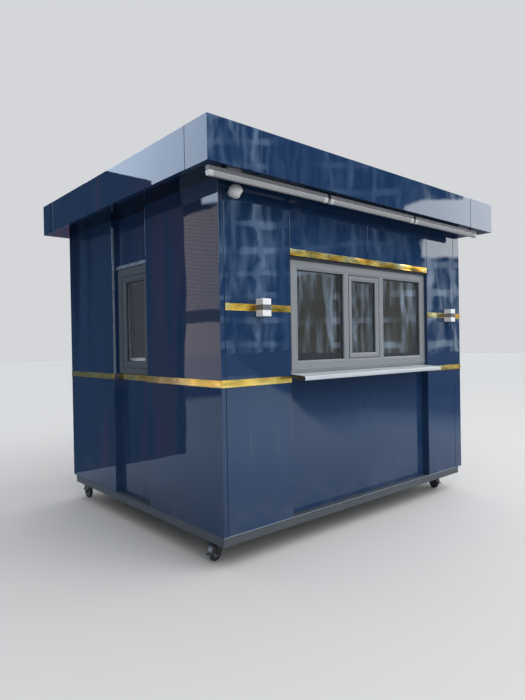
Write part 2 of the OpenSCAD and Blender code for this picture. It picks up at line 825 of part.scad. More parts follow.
module door_handle() color(silver) on_cladding() right_side()
    translate([door_y + door_frame_face + leaf_joint + handle_inset, door_step + leaf_step, handle_z]) {
        plate_half = 20;
        plate_thick = 8;
        bar_d = 18;
        reach = 50;
        translate([-plate_half, -plate_thick, -handle_plate_h / 2])
            cube([2 * plate_half, plate_thick, handle_plate_h]);
        rotate([90, 0, 0]) cylinder(d = bar_d, h = reach);
        translate([0, -reach, 0]) rotate([0, 90, 0]) cylinder(d = bar_d, h = handle_len);
        translate([0, -reach, 0]) sphere(d = bar_d);
    }

// Hinge: a knuckle before the leaf's edge, one flap on the leaf and one on the frame's face
module hinge() {
    translate([-hinge_flap_w, -hinge_flap_t, 0]) cube([hinge_flap_w, hinge_flap_t, hinge_h]);
    translate([0, -leaf_step - hinge_flap_t, 0]) cube([hinge_flap_w, hinge_flap_t, hinge_h]);
    translate([0, -hinge_d / 2, 0]) cylinder(d = hinge_d, h = hinge_h);
}

module door_hinges() color(steel_grey) on_cladding() right_side() {
    x = door_y + door_w - door_frame_face - leaf_joint - hinge_d / 2;
    low = threshold_z + leaf_joint + hinge_inset;
    high = threshold_z + leaf_h - leaf_joint - hinge_inset - hinge_h;
    for (z = [low, (low + high) / 2, high])
        translate([x, door_step + leaf_step, z]) hinge();
}

// Linear lights under the front of the soffit

module on_bars() on_roof()
    for (i = [0:bar_count - 1])
        translate([bar_start + i * (bar_len + bar_gap), bar_inset, -bar_drop]) children();

// An outline and its mirror image across the second axis, in one loop
function both_sides(side) = let (n = len(side))
    concat(side, [for (i = [1:n]) [-side[n - i][0], side[n - i][1]]]);

// Half of the body's section, from the web under it to its chamfer: V grooves run along its face
function light_body_side(half = bar_w / 2, pitch = (bar_body_h - bar_chamfer) / (bar_groove_count + 1)) =
    concat(
        [[half - bar_web_inset, -bar_body_h - bar_joint], [half - bar_web_inset, -bar_body_h],
         [half, -bar_body_h]],
        [for (i = [1:bar_groove_count], p = [[0, -1], [-1, 0], [0, 1]])
            [half + p[0] * bar_groove, i * pitch - bar_body_h + p[1] * bar_groove / 2]],
        [[half, -bar_chamfer], [half - bar_chamfer, 0]]);

// Half of the diffuser's section, grown by the given amount: straight sides and a rounded foot
function light_lens_side(grow = 0) =
    let (half = bar_w / 2 + bar_lens_proud + grow, top = -bar_body_h - bar_joint,
         foot = top - bar_lens_h - grow)
    concat(arc(lens_flat / 2, foot + lens_r, lens_r, 270, 340), [[half, top - lens_side_h], [half, top]]);

// Block that hides the supply between the soffit and the first light
module light_junction() color(frame_grey) on_roof()
    translate([bar_start + junction_x, bar_inset - bar_w / 2 + bar_chamfer, -bar_drop - part_gap])
        cube([junction_len, bar_w - 2 * bar_chamfer, bar_drop + part_gap]);

module light_bodies() color(frame_grey) {
    on_bars() along_x(bar_len) polygon(both_sides(light_body_side()));
    light_junction();
}

module light_diffusers() color(opal) on_bars()
    translate([bar_cap_len, 0, 0]) along_x(bar_len - 2 * bar_cap_len)
        polygon(both_sides(light_lens_side()));

module light_end_caps() color(opal) on_bars()
    for (x = [0, bar_len - bar_cap_len])
        translate([x, 0, 0]) along_x(bar_cap_len) polygon(both_sides(light_lens_side(cap_proud)));

// Hangers that carry the lights, and the plug links between them
module light_fixings() color(black) {
    on_bars()
        for (x = [bar_clip_inset, bar_len - bar_clip_inset])
            translate([x - clip_w / 2, 0, 0]) along_x(clip_w) polygon(both_sides([
                [clip_foot, 0], [clip_foot, clip_plate_t], [clip_web, clip_plate_t],
                [clip_web, bar_drop - clip_plate_t], [clip_head, bar_drop - clip_plate_t],
                [clip_head, bar_drop]]));
    if (bar_count > 1)
        on_roof()
            for (i = [1:bar_count - 1])
                translate([bar_start + i * (bar_len + bar_gap) - bar_gap, bar_inset,
                        -bar_drop - bar_body_h / 2])
                    rotate([0, 90, 0]) cylinder(d = link_d, h = bar_gap);
}

// Wall lamps: opal blocks above and below a metal band

module on_lamps() on_cladding()
    for (x = [lamp_left_x, bay_x1 + lamp_right_x])
        translate([x, -gold_t, gold_high_z + gold_h / 2]) children();

module lamp_bands() color(steel_grey) on_lamps()
    translate([-lamp_w / 2, -lamp_w, -lamp_band_h / 2]) cube([lamp_w, lamp_w, lamp_band_h]);

module lamp_lenses() color(opal) on_lamps() {
    block_h = (lamp_h - lamp_band_h) / 2;
    for (z = [lamp_band_h / 2, -lamp_h / 2])
        translate([1 - lamp_w / 2, 1 - lamp_w, z]) cube([lamp_w - 2, lamp_w - 2, block_h]);
}

// Camera: a ball on a small round base. Its lens looks along the front, outwards and down.

module security_camera() color(opal) on_cladding() translate([camera_x, 0, wall_h - camera_drop]) {
    ball_r = camera_ball_d / 2;
    flat_at = sqrt(pow(ball_r, 2) - pow(camera_lens_d / 2, 2));
    rotate([90, 0, 0]) cylinder(d = camera_base_d, h = camera_base_t);
    difference() {
        translate([0, -camera_out, 0]) sphere(r = ball_r, $fn = 64);
        translate([0, -camera_out, 0]) rotate([0, 0, -camera_turn]) rotate([0, 90 + camera_tilt, 0])
            translate([0, 0, flat_at]) cylinder(d = camera_ball_d, h = ball_r);
    }
}

// Castors, drawn about the swivel axis with the wheel trailing along x

module on_castor(i) on_body() translate([castor_axes[i][0], castor_axes[i][1], 0])
    rotate([0, 0, castor_axes[i][2]]) children();

module castor_plates() color("#9aa0a4") on_body()
    for (c = castor_axes) translate([c[0], c[1], castor_h - plate_t]) {
        translate([-plate_w / 2, -plate_l / 2, 0]) cube([plate_w, plate_l, plate_t]);
        translate([0, 0, -race_h / 2]) cylinder(d = race_d, h = race_h / 2);
    }

// Pressed fork: a crown under the ball race and two legs that taper to the axle
module fork() color("#8d9498") {
    half_w = fork_inner + castor_steel_t;
    translate([0, 0, crown_top]) cylinder(d = race_d, h = race_h / 2 - race_gap);
    translate([-crown_back, -half_w, crown_top - crown_t])
        cube([crown_back + crown_front, 2 * half_w, crown_t]);
    for (side = [-1, 1])
        translate([0, side * (fork_inner + castor_steel_t / 2) + castor_steel_t / 2, 0])
            rotate([90, 0, 0]) linear_extrude(castor_steel_t)
                polygon(concat([[-crown_back, crown_top], [-crown_back, crown_top - leg_rear_h]],
                    arc(trail, wheel_r, axle_eye_r, 200, 360, 10),
                    [[trail + axle_eye_r + leg_shoulder, crown_top - leg_front_h],
                     [crown_front, crown_top]]));
    translate([trail, 0, wheel_r]) rotate([90, 0, 0]) {
        cylinder(d = axle_d, h = 2 * half_w, center = true);
        for (side = [-1, 1])
            translate([0, 0, side * (half_w + axle_head / 2)])
                cylinder(d = nut_af, h = axle_head, center = true, $fn = 6);
    }
    translate([0, pedal_w / 2, 0]) rotate([90, 0, 0]) linear_extrude(pedal_w) {
        brake_shoe();
        release_lever();
    }
}

// Brake pedal seen from the side: it bends round the trailing side of the wheel to its foot
module brake_shoe() {
    in_r = wheel_r + castor_clear + shoe_gap;
    foot_x = trail + in_r + foot_reach;
    polygon(concat([[crown_back, crown_top], [trail + 6, crown_top]],
        arc(trail, wheel_r, in_r + castor_steel_t, 68, 8, 10),
        [[foot_x, wheel_r + foot_half + shoe_gap], [foot_x + shoe_gap, wheel_r + shoe_gap],
         [foot_x, wheel_r - shoe_gap]],
        arc(trail, wheel_r, in_r, 0, 68, 10), [[crown_back, crown_top - crown_t]]));
}

// Release lever over the pedal, with its end turned up
module release_lever()
    polygon([[trail, crown_top - castor_steel_t], [lever_reach, crown_top - castor_steel_t],
        [lever_reach + lever_end, crown_top + lever_rise],
        [lever_reach + castor_steel_t, crown_top + lever_end],
        [lever_reach - 2, crown_top], [trail, crown_top]]);

// Half of the wheel's profile, from the axle out to the tread: radius and way out from its middle
function wheel_side(w = wheel_w / 2, rim_r = wheel_r - tyre_h) = [
    [axle_d / 2 + axle_gap, hub_w / 2], [hub_r, hub_w / 2], [hub_r + hub_fillet, w - rim_h],
    [rim_r - rim_h, w - web_step], [rim_r, w], [wheel_r - tyre_round, w], [wheel_r, w - tyre_crown]];

module castor_wheel() color(black) translate([trail, 0, wheel_r]) rotate([90, 0, 0])
    rotate_extrude($fn = 96) polygon(let (side = wheel_side(), n = len(side))
        concat([for (p = side) [p[0], -p[1]]], [for (i = [1:n]) side[n - i]]));

base_long_rails();
base_cross_rails();
floor_deck();
front_wall_core();
left_wall_core();
right_wall_core();
rear_wall_core();
front_left_pillar();
front_right_pillar();
front_header();
front_apron();
left_near_panel();
left_far_panel();
left_bay_panels();
right_panels();
rear_panels();
roof_deck();
ceiling_panel();
soffit();
fascia_corners();
fascia_front();
fascia_left();
fascia_right();
fascia_rear();
gold_strips();
window_frame();
window_sash();
window_glass();
sash_glass();
window_sill();
serving_shelf();
shelf_end_caps();
shelf_brackets();
side_window_head();
side_window_frame();
side_window_sash();
side_window_glass();
door_frame();
door_leaf();
door_handle();
door_hinges();
light_bodies();
light_diffusers();
light_end_caps();
light_fixings();
lamp_bands();
lamp_lenses();
security_camera();
castor_plates();
on_castor(0) fork();  // castor_fork_front_left
on_castor(1) fork();  // castor_fork_front_right
on_castor(2) fork();  // castor_fork_rear_left
on_castor(3) fork();  // castor_fork_rear_right
on_castor(0) castor_wheel();  // castor_wheel_front_left
on_castor(1) castor_wheel();  // castor_wheel_front_right
on_castor(2) castor_wheel();  // castor_wheel_rear_left
on_castor(3) castor_wheel();  // castor_wheel_rear_right
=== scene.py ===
"""Looks of a mobile street kiosk: glossy navy cassettes, gold strips, a serving window and soffit lights.

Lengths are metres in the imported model's frame: +Z is up, the serving front faces -Y, and the origin is on
the ground under the middle of the roof. Each sub-assembly is a class that holds its sizes, builds its
meshes and dresses them. Surfaces are whole numpy arrays.
"""

import json
import logging
import math
from dataclasses import dataclass
from enum import Enum
from typing import Callable, Iterable, Sequence

import bmesh
import bpy
import numpy as np
from mathutils import Matrix, Vector


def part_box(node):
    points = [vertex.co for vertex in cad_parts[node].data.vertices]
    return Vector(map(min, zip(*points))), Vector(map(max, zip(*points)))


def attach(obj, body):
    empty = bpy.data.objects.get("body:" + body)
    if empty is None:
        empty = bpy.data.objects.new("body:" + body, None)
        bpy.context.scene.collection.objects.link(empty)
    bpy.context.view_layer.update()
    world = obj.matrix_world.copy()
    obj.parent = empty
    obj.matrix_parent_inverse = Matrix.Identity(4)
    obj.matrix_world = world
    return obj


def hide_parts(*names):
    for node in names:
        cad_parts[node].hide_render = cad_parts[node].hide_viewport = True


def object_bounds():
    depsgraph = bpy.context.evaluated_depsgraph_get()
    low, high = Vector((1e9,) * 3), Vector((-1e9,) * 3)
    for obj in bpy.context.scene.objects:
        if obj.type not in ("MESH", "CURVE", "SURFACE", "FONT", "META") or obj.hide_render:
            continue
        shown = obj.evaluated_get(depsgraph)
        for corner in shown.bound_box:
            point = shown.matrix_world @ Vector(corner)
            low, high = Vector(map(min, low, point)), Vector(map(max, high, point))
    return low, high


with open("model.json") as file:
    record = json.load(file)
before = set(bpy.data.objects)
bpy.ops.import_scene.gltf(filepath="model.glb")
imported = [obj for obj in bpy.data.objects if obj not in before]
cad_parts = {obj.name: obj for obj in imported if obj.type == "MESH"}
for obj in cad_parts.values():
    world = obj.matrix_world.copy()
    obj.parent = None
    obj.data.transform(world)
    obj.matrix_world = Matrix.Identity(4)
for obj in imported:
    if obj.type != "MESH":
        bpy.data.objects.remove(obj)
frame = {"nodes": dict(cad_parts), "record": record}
CAD_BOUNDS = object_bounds()

LOG = logging.getLogger("kiosk")
KIOSK = "kiosk"
MM = 0.001
MERGE_DISTANCE = 1e-6
SLIVER_LENGTH = 1e-7
SMOOTH_ANGLE = 35.0
BEVEL_STEPS = 2
HALF_TURN = 180.0

Array = np.ndarray
Colour = tuple[float, float, float]
Point = tuple[float, float, float]
Span = tuple[float, float]
# A smooth step: from its first to its second number, the result goes from the third to the fourth
Step = tuple[float, float, float, float]
Levels = tuple[tuple[float, Colour], ...]
Corners = tuple[Vector, Vector]
Node = bpy.types.Node
Socket = bpy.types.NodeSocket
Value = float | tuple | Socket


# Meshes


@dataclass
class Shape:
    """Vertices and polygons of one or more closed shells, as arrays."""

    points: Array
    faces: list[Array]

    @staticmethod
    def join(shapes: Iterable["Shape"]) -> "Shape":
        """Puts several shapes into one.

        Args:
            shapes: The shapes, which keep their places.

        Returns:
            One shape with all their points and faces.
        """
        points, faces, start = [], [], 0
        for shape in shapes:
            points.append(shape.points)
            faces += [block + start for block in shape.faces]
            start += len(shape.points)
        return Shape(np.concatenate(points), faces)

    def moved(self, matrix: Array) -> "Shape":
        """Returns the shape under a 4 x 4 matrix."""
        homogeneous = np.c_[self.points, np.ones(len(self.points))]
        return Shape((homogeneous @ np.asarray(matrix, float).T)[:, :3], self.faces)


def grid_quads(rows: int, columns: int, wrap_rows: bool = False, wrap_columns: bool = False) -> Array:
    """Quads of a grid of points numbered row by row.

    Args:
        rows: Number of rows of points.
        columns: Number of points in a row.
        wrap_rows: Whether the last row joins the first.
        wrap_columns: Whether the last column joins the first.

    Returns:
        An n x 4 array of point numbers.
    """
    i = np.arange(rows if wrap_rows else rows - 1)[:, None]
    j = np.arange(columns if wrap_columns else columns - 1)[None, :]
    below, right = (i + 1) % rows, (j + 1) % columns
    quads = np.stack([i * columns + j, i * columns + right, below * columns + right, below * columns + j], -1)
    return quads.reshape(-1, 4)


def boxes(low: Sequence, high: Sequence) -> Shape:
    """Boxes between pairs of corners: each corner takes low or high on each axis.

    Args:
        low: n x 3 lowest corners.
        high: n x 3 highest corners.

    Returns:
        The boxes as one shape.
    """
    low, high = np.atleast_2d(np.asarray(low, float)), np.atleast_2d(np.asarray(high, float))
    pick = np.array([[0, 0, 0], [1, 0, 0], [1, 1, 0], [0, 1, 0], [0, 0, 1], [1, 0, 1], [1, 1, 1], [0, 1, 1]])
    points = np.where(pick[None] == 1, high[:, None, :], low[:, None, :]).reshape(-1, 3)
    sides = np.array([[0, 3, 2, 1], [4, 5, 6, 7], [0, 1, 5, 4], [1, 2, 6, 5], [2, 3, 7, 6], [3, 0, 4, 7]])
    faces = (np.arange(len(low))[:, None, None] * len(pick) + sides[None]).reshape(-1, 4)
    return Shape(points, [faces])


def rectangle(across: Span, deep: Span) -> list[Span]:
    """Returns the closed outline of a rectangle."""
    return [(across[0], deep[0]), (across[1], deep[0]), (across[1], deep[1]), (across[0], deep[1])]


def mitred_ring(low: Sequence[float], high: Sequence[float], section: Array) -> Shape:
    """Section carried round a rectangle: at each corner it is moved inwards along both sides by its inset.

    Args:
        low: Lowest (along, height) of the rectangle.
        high: Highest (along, height) of the rectangle.
        section: Closed n x 2 outline of (inset, depth).

    Returns:
        A ring in (along, depth, height).
    """
    inset, depth = section[:, 0], section[:, 1]
    corners = np.array([[low[0], low[1], 1, 1], [high[0], low[1], -1, 1],
                        [high[0], high[1], -1, -1], [low[0], high[1], 1, -1]], float)
    along = corners[:, 0:1] + corners[:, 2:3] * inset
    height = corners[:, 1:2] + corners[:, 3:4] * inset
    points = np.stack([along, np.broadcast_to(depth, along.shape), height], -1).reshape(-1, 3)
    return Shape(points, [grid_quads(len(corners), len(section), wrap_rows=True, wrap_columns=True)])


def lathe(section: Sequence[Span], segments: int, closed: bool = False) -> Shape:
    """Section turned about the third axis: each point goes round a circle of its radius.

    Args:
        section: Points of (radius, height).
        segments: Number of steps round the circle.
        closed: Whether the last point joins the first, as in a ring.

    Returns:
        The turned shape.
    """
    section = np.asarray(section, float)
    turn = np.linspace(0, 2 * math.pi, segments, endpoint=False)[:, None]
    radius, height = section[:, 0], section[:, 1]
    level = np.broadcast_to(height, (segments, len(section)))
    points = np.stack([radius * np.cos(turn), radius * np.sin(turn), level], -1).reshape(-1, 3)
    return Shape(points, [grid_quads(segments, len(section), wrap_rows=True, wrap_columns=closed)])


def facing(axis: Sequence[float], origin: Sequence[float]) -> Array:
    """Returns the matrix that turns the third axis to a direction and moves the origin to a point."""
    turn = Vector(axis).to_track_quat("Z", "Y").to_matrix().to_4x4()
    return np.array(Matrix.Translation(Vector(origin)) @ turn)


@dataclass(frozen=True)
class HexHead:
    """A hexagonal head on a round washer. Widths are radii, and heights are above the washer's foot."""

    washer: float
    rim: float
    crown: float
    foot: float
    shoulder: float
    crest: float
    top: float
    segments: int
    chamfer: float = 0.6 * MM
    corners: int = 6

    def build(self) -> Shape:
        """Turns the washer, from its rim to its crown, and the head, which starts at the rim's height.

        Returns:
            The washer and the head.
        """
        washer = lathe([(0.0, 0.0), (self.washer, 0.0), (self.washer, self.rim), (0.0, self.crown)],
                       self.segments)
        head = lathe([(0.0, self.rim), (self.foot, self.rim), (self.shoulder, self.top - self.chamfer),
                      (self.crest, self.top), (0.0, self.top)], self.corners)
        return Shape.join((washer, head))


# Walls


@dataclass(frozen=True)
class Body:
    """The clad body's outer faces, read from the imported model."""

    left: float
    right: float
    front: float
    rear: float
    foot: float
    top: float

    @staticmethod
    def read() -> "Body":
        """Reads the cladding's outer faces.

        Returns:
            The body between them.
        """
        left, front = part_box("left_near_panel")[0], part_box("front_left_pillar")[0]
        right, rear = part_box("right_panels")[1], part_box("rear_panels")[1]
        return Body(left.x, right.x, front.y, rear.y, left.z, right.z)


class Wall(Enum):
    """The walls that hold a window or the door. Wall coordinates are (along, depth inwards, height)."""

    FRONT = "front"
    LEFT = "left"
    RIGHT = "right"

    def place(self, body: Body, shape: Shape) -> Shape:
        """Takes a shape from wall coordinates to the model's frame.

        Args:
            body: The clad body.
            shape: The shape in wall coordinates.

        Returns:
            The shape in its place.
        """
        along, depth, height = shape.points.T
        if self is Wall.FRONT:
            points = np.c_[body.left + along, body.front + depth, height]
        else:
            face = body.left + depth if self is Wall.LEFT else body.right - depth
            points = np.c_[face, body.front + along, height]
        return Shape(points, shape.faces)

    def corners(self, body: Body, low: Vector, high: Vector) -> Array:
        """Takes a box from the model's frame to wall coordinates.

        Args:
            body: The clad body.
            low: The box's lowest corner.
            high: The box's highest corner.

        Returns:
            A 2 x 3 array of its lowest and highest (along, depth, height).
        """
        across, deep = (low.x - body.left, high.x - body.left), (low.y - body.front, high.y - body.front)
        if self is Wall.FRONT:
            along, depth = across, deep
        elif self is Wall.LEFT:
            along, depth = deep, across
        else:
            along, depth = deep, (body.right - high.x, body.right - low.x)
        return np.array([along, depth, (low.z, high.z)]).T

    def ring(self, body: Body, box: Corners, section: Sequence[Span]) -> Shape:
        """Carries a section round the outline of a box in this wall.

        Args:
            body: The clad body.
            box: The box's lowest and highest corners.
            section: Closed outline of (inset from the box's edge, depth behind its outer face).

        Returns:
            The ring in its place.
        """
        low, high = self.corners(body, *box)
        section = np.asarray(section, float) + (0.0, low[1])
        return self.place(body, mitred_ring(low[[0, 2]], high[[0, 2]], section))


# Shader nodes


class Tree:
    """A node tree with short calls for adding and linking nodes."""

    def __init__(self, tree: bpy.types.NodeTree) -> None:
        """Keeps the tree and empties it."""
        self.tree = tree
        tree.nodes.clear()

    @staticmethod
    def of(material: bpy.types.Material) -> "Tree":
        """Returns the empty tree of a new material."""
        material.use_nodes = True
        return Tree(material.node_tree)

    def feed(self, socket: Socket, value: Value) -> None:
        """Feeds a socket.

        Args:
            socket: The socket of a node.
            value: Another node's output, which is linked to it, or the value that it gets.
        """
        if isinstance(value, Socket):
            self.tree.links.new(value, socket)
        else:
            socket.default_value = value

    def add(self, kind: str, inputs: dict | None = None, **settings: object) -> Node:
        """Adds a node.

        Args:
            kind: The node's type.
            inputs: Socket name or number to a value or to another node's output.
            settings: Attributes of the node itself.

        Returns:
            The node.
        """
        node = self.tree.nodes.new(kind)
        for key, value in settings.items():
            setattr(node, key, value)
        for key, value in (inputs or {}).items():
            self.feed(node.inputs[key], value)
        return node

    def effect(self, effect: "Effect", **values: float) -> Node:
        """Returns a node that holds an effect's group, with its own values."""
        return self.add("ShaderNodeGroup", values, node_tree=effect.group())

    def math(self, operation: str, a: Value, b: Value = 0.0, c: float = 0.0, clamp: bool = False) -> Socket:
        """Returns the output of a Math node."""
        return self.add("ShaderNodeMath", {0: a, 1: b, 2: c}, operation=operation, use_clamp=clamp).outputs[0]

    def vector(self, operation: str, inputs: dict, output: str = "Vector") -> Socket:
        """Returns an output of a Vector Math node."""
        return self.add("ShaderNodeVectorMath", inputs, operation=operation).outputs[output]

    def ramp(self, value: Value, low: Value, high: float, to_low: float = 0.0,
             to_high: float = 1.0) -> Socket:
        """Returns a smooth step of value from low to high."""
        return self.add("ShaderNodeMapRange", {"Value": value, "From Min": low, "From Max": high,
                                               "To Min": to_low, "To Max": to_high},
                        interpolation_type="SMOOTHSTEP").outputs["Result"]

    def blend(self, factor: Value, a: Value, b: Value) -> Socket:
        """Returns the mix of two values."""
        return self.add("ShaderNodeMix", {"Factor": factor, 2: a, 3: b}).outputs[0]

    def mix(self, factor: Value, a: Value, b: Value) -> Socket:
        """Mixes two colours.

        Args:
            factor: The share of the second colour.
            a: The first colour.
            b: The second colour.

        Returns:
            The mixed colour.
        """
        node = self.add("ShaderNodeMix", data_type="RGBA")
        for socket, value in ((node.inputs["Factor"], factor), (node.inputs[6], a), (node.inputs[7], b)):
            self.feed(socket, (*value, 1.0) if isinstance(value, tuple) else value)
        return node.outputs[2]

    def stops(self, share: Socket, levels: Sequence[tuple[float, Colour]], between: str = "LINEAR") -> Socket:
        """Colour by place on a scale from 0 to 1.

        Args:
            share: The place on the scale.
            levels: Where each colour starts, and the colour.
            between: How it goes from one to the next.

        Returns:
            The colour socket.
        """
        node = self.add("ShaderNodeValToRGB", {0: share})
        node.color_ramp.interpolation = between
        stops = node.color_ramp.elements
        while len(stops) > 1:
            stops.remove(stops[-1])
        for i, (start, level) in enumerate(levels):
            stop = stops[0] if i == 0 else stops.new(start)
            stop.position, stop.color = start, (*level, 1.0)
        return node.outputs[0]

    def noise(self, vector: Socket, scale: Value, detail: float = 2.0, roughness: float = 0.5) -> Socket:
        """Returns the value of a noise texture."""
        return self.add("ShaderNodeTexNoise", {"Vector": vector, "Scale": scale, "Detail": detail,
                                               "Roughness": roughness}).outputs["Fac"]

    def plane_noise(self, across: Socket, up: Socket, scale: Span, detail: float = 2.0,
                    roughness: float = 0.55) -> Socket:
        """Returns a noise over two coordinates, each with a scale of its own."""
        scaled = {0: self.math("MULTIPLY", across, scale[0]), 1: self.math("MULTIPLY", up, scale[1])}
        return self.noise(self.add("ShaderNodeCombineXYZ", scaled).outputs[0], 1.0, detail, roughness)

    def stretched(self, vector: Socket, scale: Point, turn: Point = (0.0, 0.0, 0.0)) -> Socket:
        """Returns coordinates stretched along each axis and then turned."""
        return self.add("ShaderNodeMapping", {"Vector": vector, "Rotation": turn, "Scale": scale}).outputs[0]

    def bump(self, height: Socket, distance: float, strength: Value = 1.0, **more: Socket) -> Socket:
        """Returns the normal that a height in units of a distance gives."""
        return self.add("ShaderNodeBump", {"Height": height, "Distance": distance, "Strength": strength,
                                           **more}).outputs[0]

    def parts(self, vector: Socket) -> tuple[Socket, Socket, Socket]:
        """Returns the three coordinates of a vector."""
        return tuple(self.add("ShaderNodeSeparateXYZ", {0: vector}).outputs)

    @property
    def place(self) -> Socket:
        """Object coordinates."""
        return self.add("ShaderNodeTexCoord").outputs["Object"]


@dataclass(frozen=True)
class Effect:
    """A shader node group that materials share, each with its own values."""

    name: str
    inputs: dict[str, float]
    outputs: tuple[str, ...]
    fill: Callable[[Tree, Node], dict[str, Socket]]

    def group(self) -> bpy.types.NodeTree:
        """Makes the group on its first call.

        Returns:
            The group.
        """
        if self.name in bpy.data.node_groups:
            return bpy.data.node_groups[self.name]
        group = bpy.data.node_groups.new(self.name, "ShaderNodeTree")
        tree = Tree(group)
        for key, value in self.inputs.items():
            socket = group.interface.new_socket(key, in_out="INPUT", socket_type="NodeSocketFloat")
            socket.default_value = value
        for key in self.outputs:
            group.interface.new_socket(key, in_out="OUTPUT", socket_type="NodeSocketFloat")
        start, end = tree.add("NodeGroupInput"), tree.add("NodeGroupOutput")
        for key, socket in self.fill(tree, start).items():
            tree.feed(end.inputs[key], socket)
        return group


def sheet_waves(t: Tree, given: Node) -> dict[str, Socket]:
    """Broad waves of thin sheet between its fixings: one noise of the size given and a finer, faint one.

    Args:
        t: The group's tree.
        given: Its input node.

    Returns:
        The height.
    """
    place = t.place
    scale = t.math("DIVIDE", 1.0, given.outputs["Size"])
    broad = t.noise(place, scale, detail=0.5)
    finer, faint = 3.3, 0.07
    close = t.noise(place, t.math("MULTIPLY", scale, finer), detail=1.0)
    return {"Height": t.math("ADD", broad, t.math("MULTIPLY", close, faint))}


def ground_dust(t: Tree, given: Node) -> dict[str, Socket]:
    """Dust that the street throws up: thick at the foot, thinning to nothing, broken up by noise.

    Args:
        t: The group's tree.
        given: Its input node.

    Returns:
        The mask.
    """
    place = t.place
    fade = t.ramp(t.parts(place)[2], low=given.outputs["Top"], high=0.1)
    patches = t.ramp(t.noise(place, scale=5.0, detail=6.0, roughness=0.65), low=0.35, high=0.75)
    specks = t.ramp(t.noise(place, scale=160.0, detail=3.0, roughness=0.7), low=0.5, high=0.72)
    patch_share, speck_share = 0.7, 0.5
    spread = t.math("ADD", t.math("MULTIPLY", patches, patch_share), t.math("MULTIPLY", specks, speck_share))
    return {"Mask": t.math("MULTIPLY", t.math("MULTIPLY", fade, spread), given.outputs["Amount"], clamp=True)}


def rain_marks(t: Tree, given: Node) -> dict[str, Socket]:
    """Dried runs of rain: noise drawn out downwards, kept only where it is strongest.

    Args:
        t: The group's tree.
        given: Its input node.

    Returns:
        The mask.
    """
    place = t.place
    fine = t.noise(t.stretched(place, (38.0, 38.0, 1.6)), scale=1.0, detail=3.0, roughness=0.6)
    broad = t.noise(place, scale=1.7)
    marks = t.math("MULTIPLY", t.ramp(fine, low=0.5, high=0.8), t.ramp(broad, low=0.4, high=0.7))
    return {"Mask": t.math("MULTIPLY", marks, given.outputs["Amount"], clamp=True)}


def fine_grain(t: Tree, given: Node) -> dict[str, Socket]:
    """Grain of powder coat, moulding and rubber: fine noise at the scale given, and a slow drift of tone.

    Args:
        t: The group's tree.
        given: Its input node.

    Returns:
        The height and the tone.
    """
    place = t.place
    grain = t.noise(place, given.outputs["Scale"])
    drift = t.noise(place, scale=2.3, detail=3.0)
    grain_share = 0.35
    tone = t.math("ADD", t.math("MULTIPLY", grain, grain_share), t.math("MULTIPLY", drift, 1 - grain_share))
    return {"Height": grain, "Tone": tone}


def drawn_lines(t: Tree, given: Node) -> dict[str, Socket]:
    """Lines left by rolling and drawing along the front: noise squeezed across them.

    Args:
        t: The group's tree.
        given: Its input node.

    Returns:
        The height.
    """
    lines = t.noise(t.stretched(t.place, (2.0, 900.0, 900.0)), scale=1.0, detail=3.0, roughness=0.6)
    return {"Height": t.math("MULTIPLY", lines, given.outputs["Depth"])}


SHEET_WAVES = Effect("sheet_waves", {"Size": 0.6}, ("Height",), sheet_waves)
GROUND_DUST = Effect("ground_dust", {"Top": 0.7, "Amount": 0.5}, ("Mask",), ground_dust)
RAIN_MARKS = Effect("rain_marks", {"Amount": 0.5}, ("Mask",), rain_marks)
FINE_GRAIN = Effect("fine_grain", {"Scale": 900.0}, ("Height", "Tone"), fine_grain)
DRAWN_LINES = Effect("drawn_lines", {"Depth": 1.0}, ("Height",), drawn_lines)


# Finishes


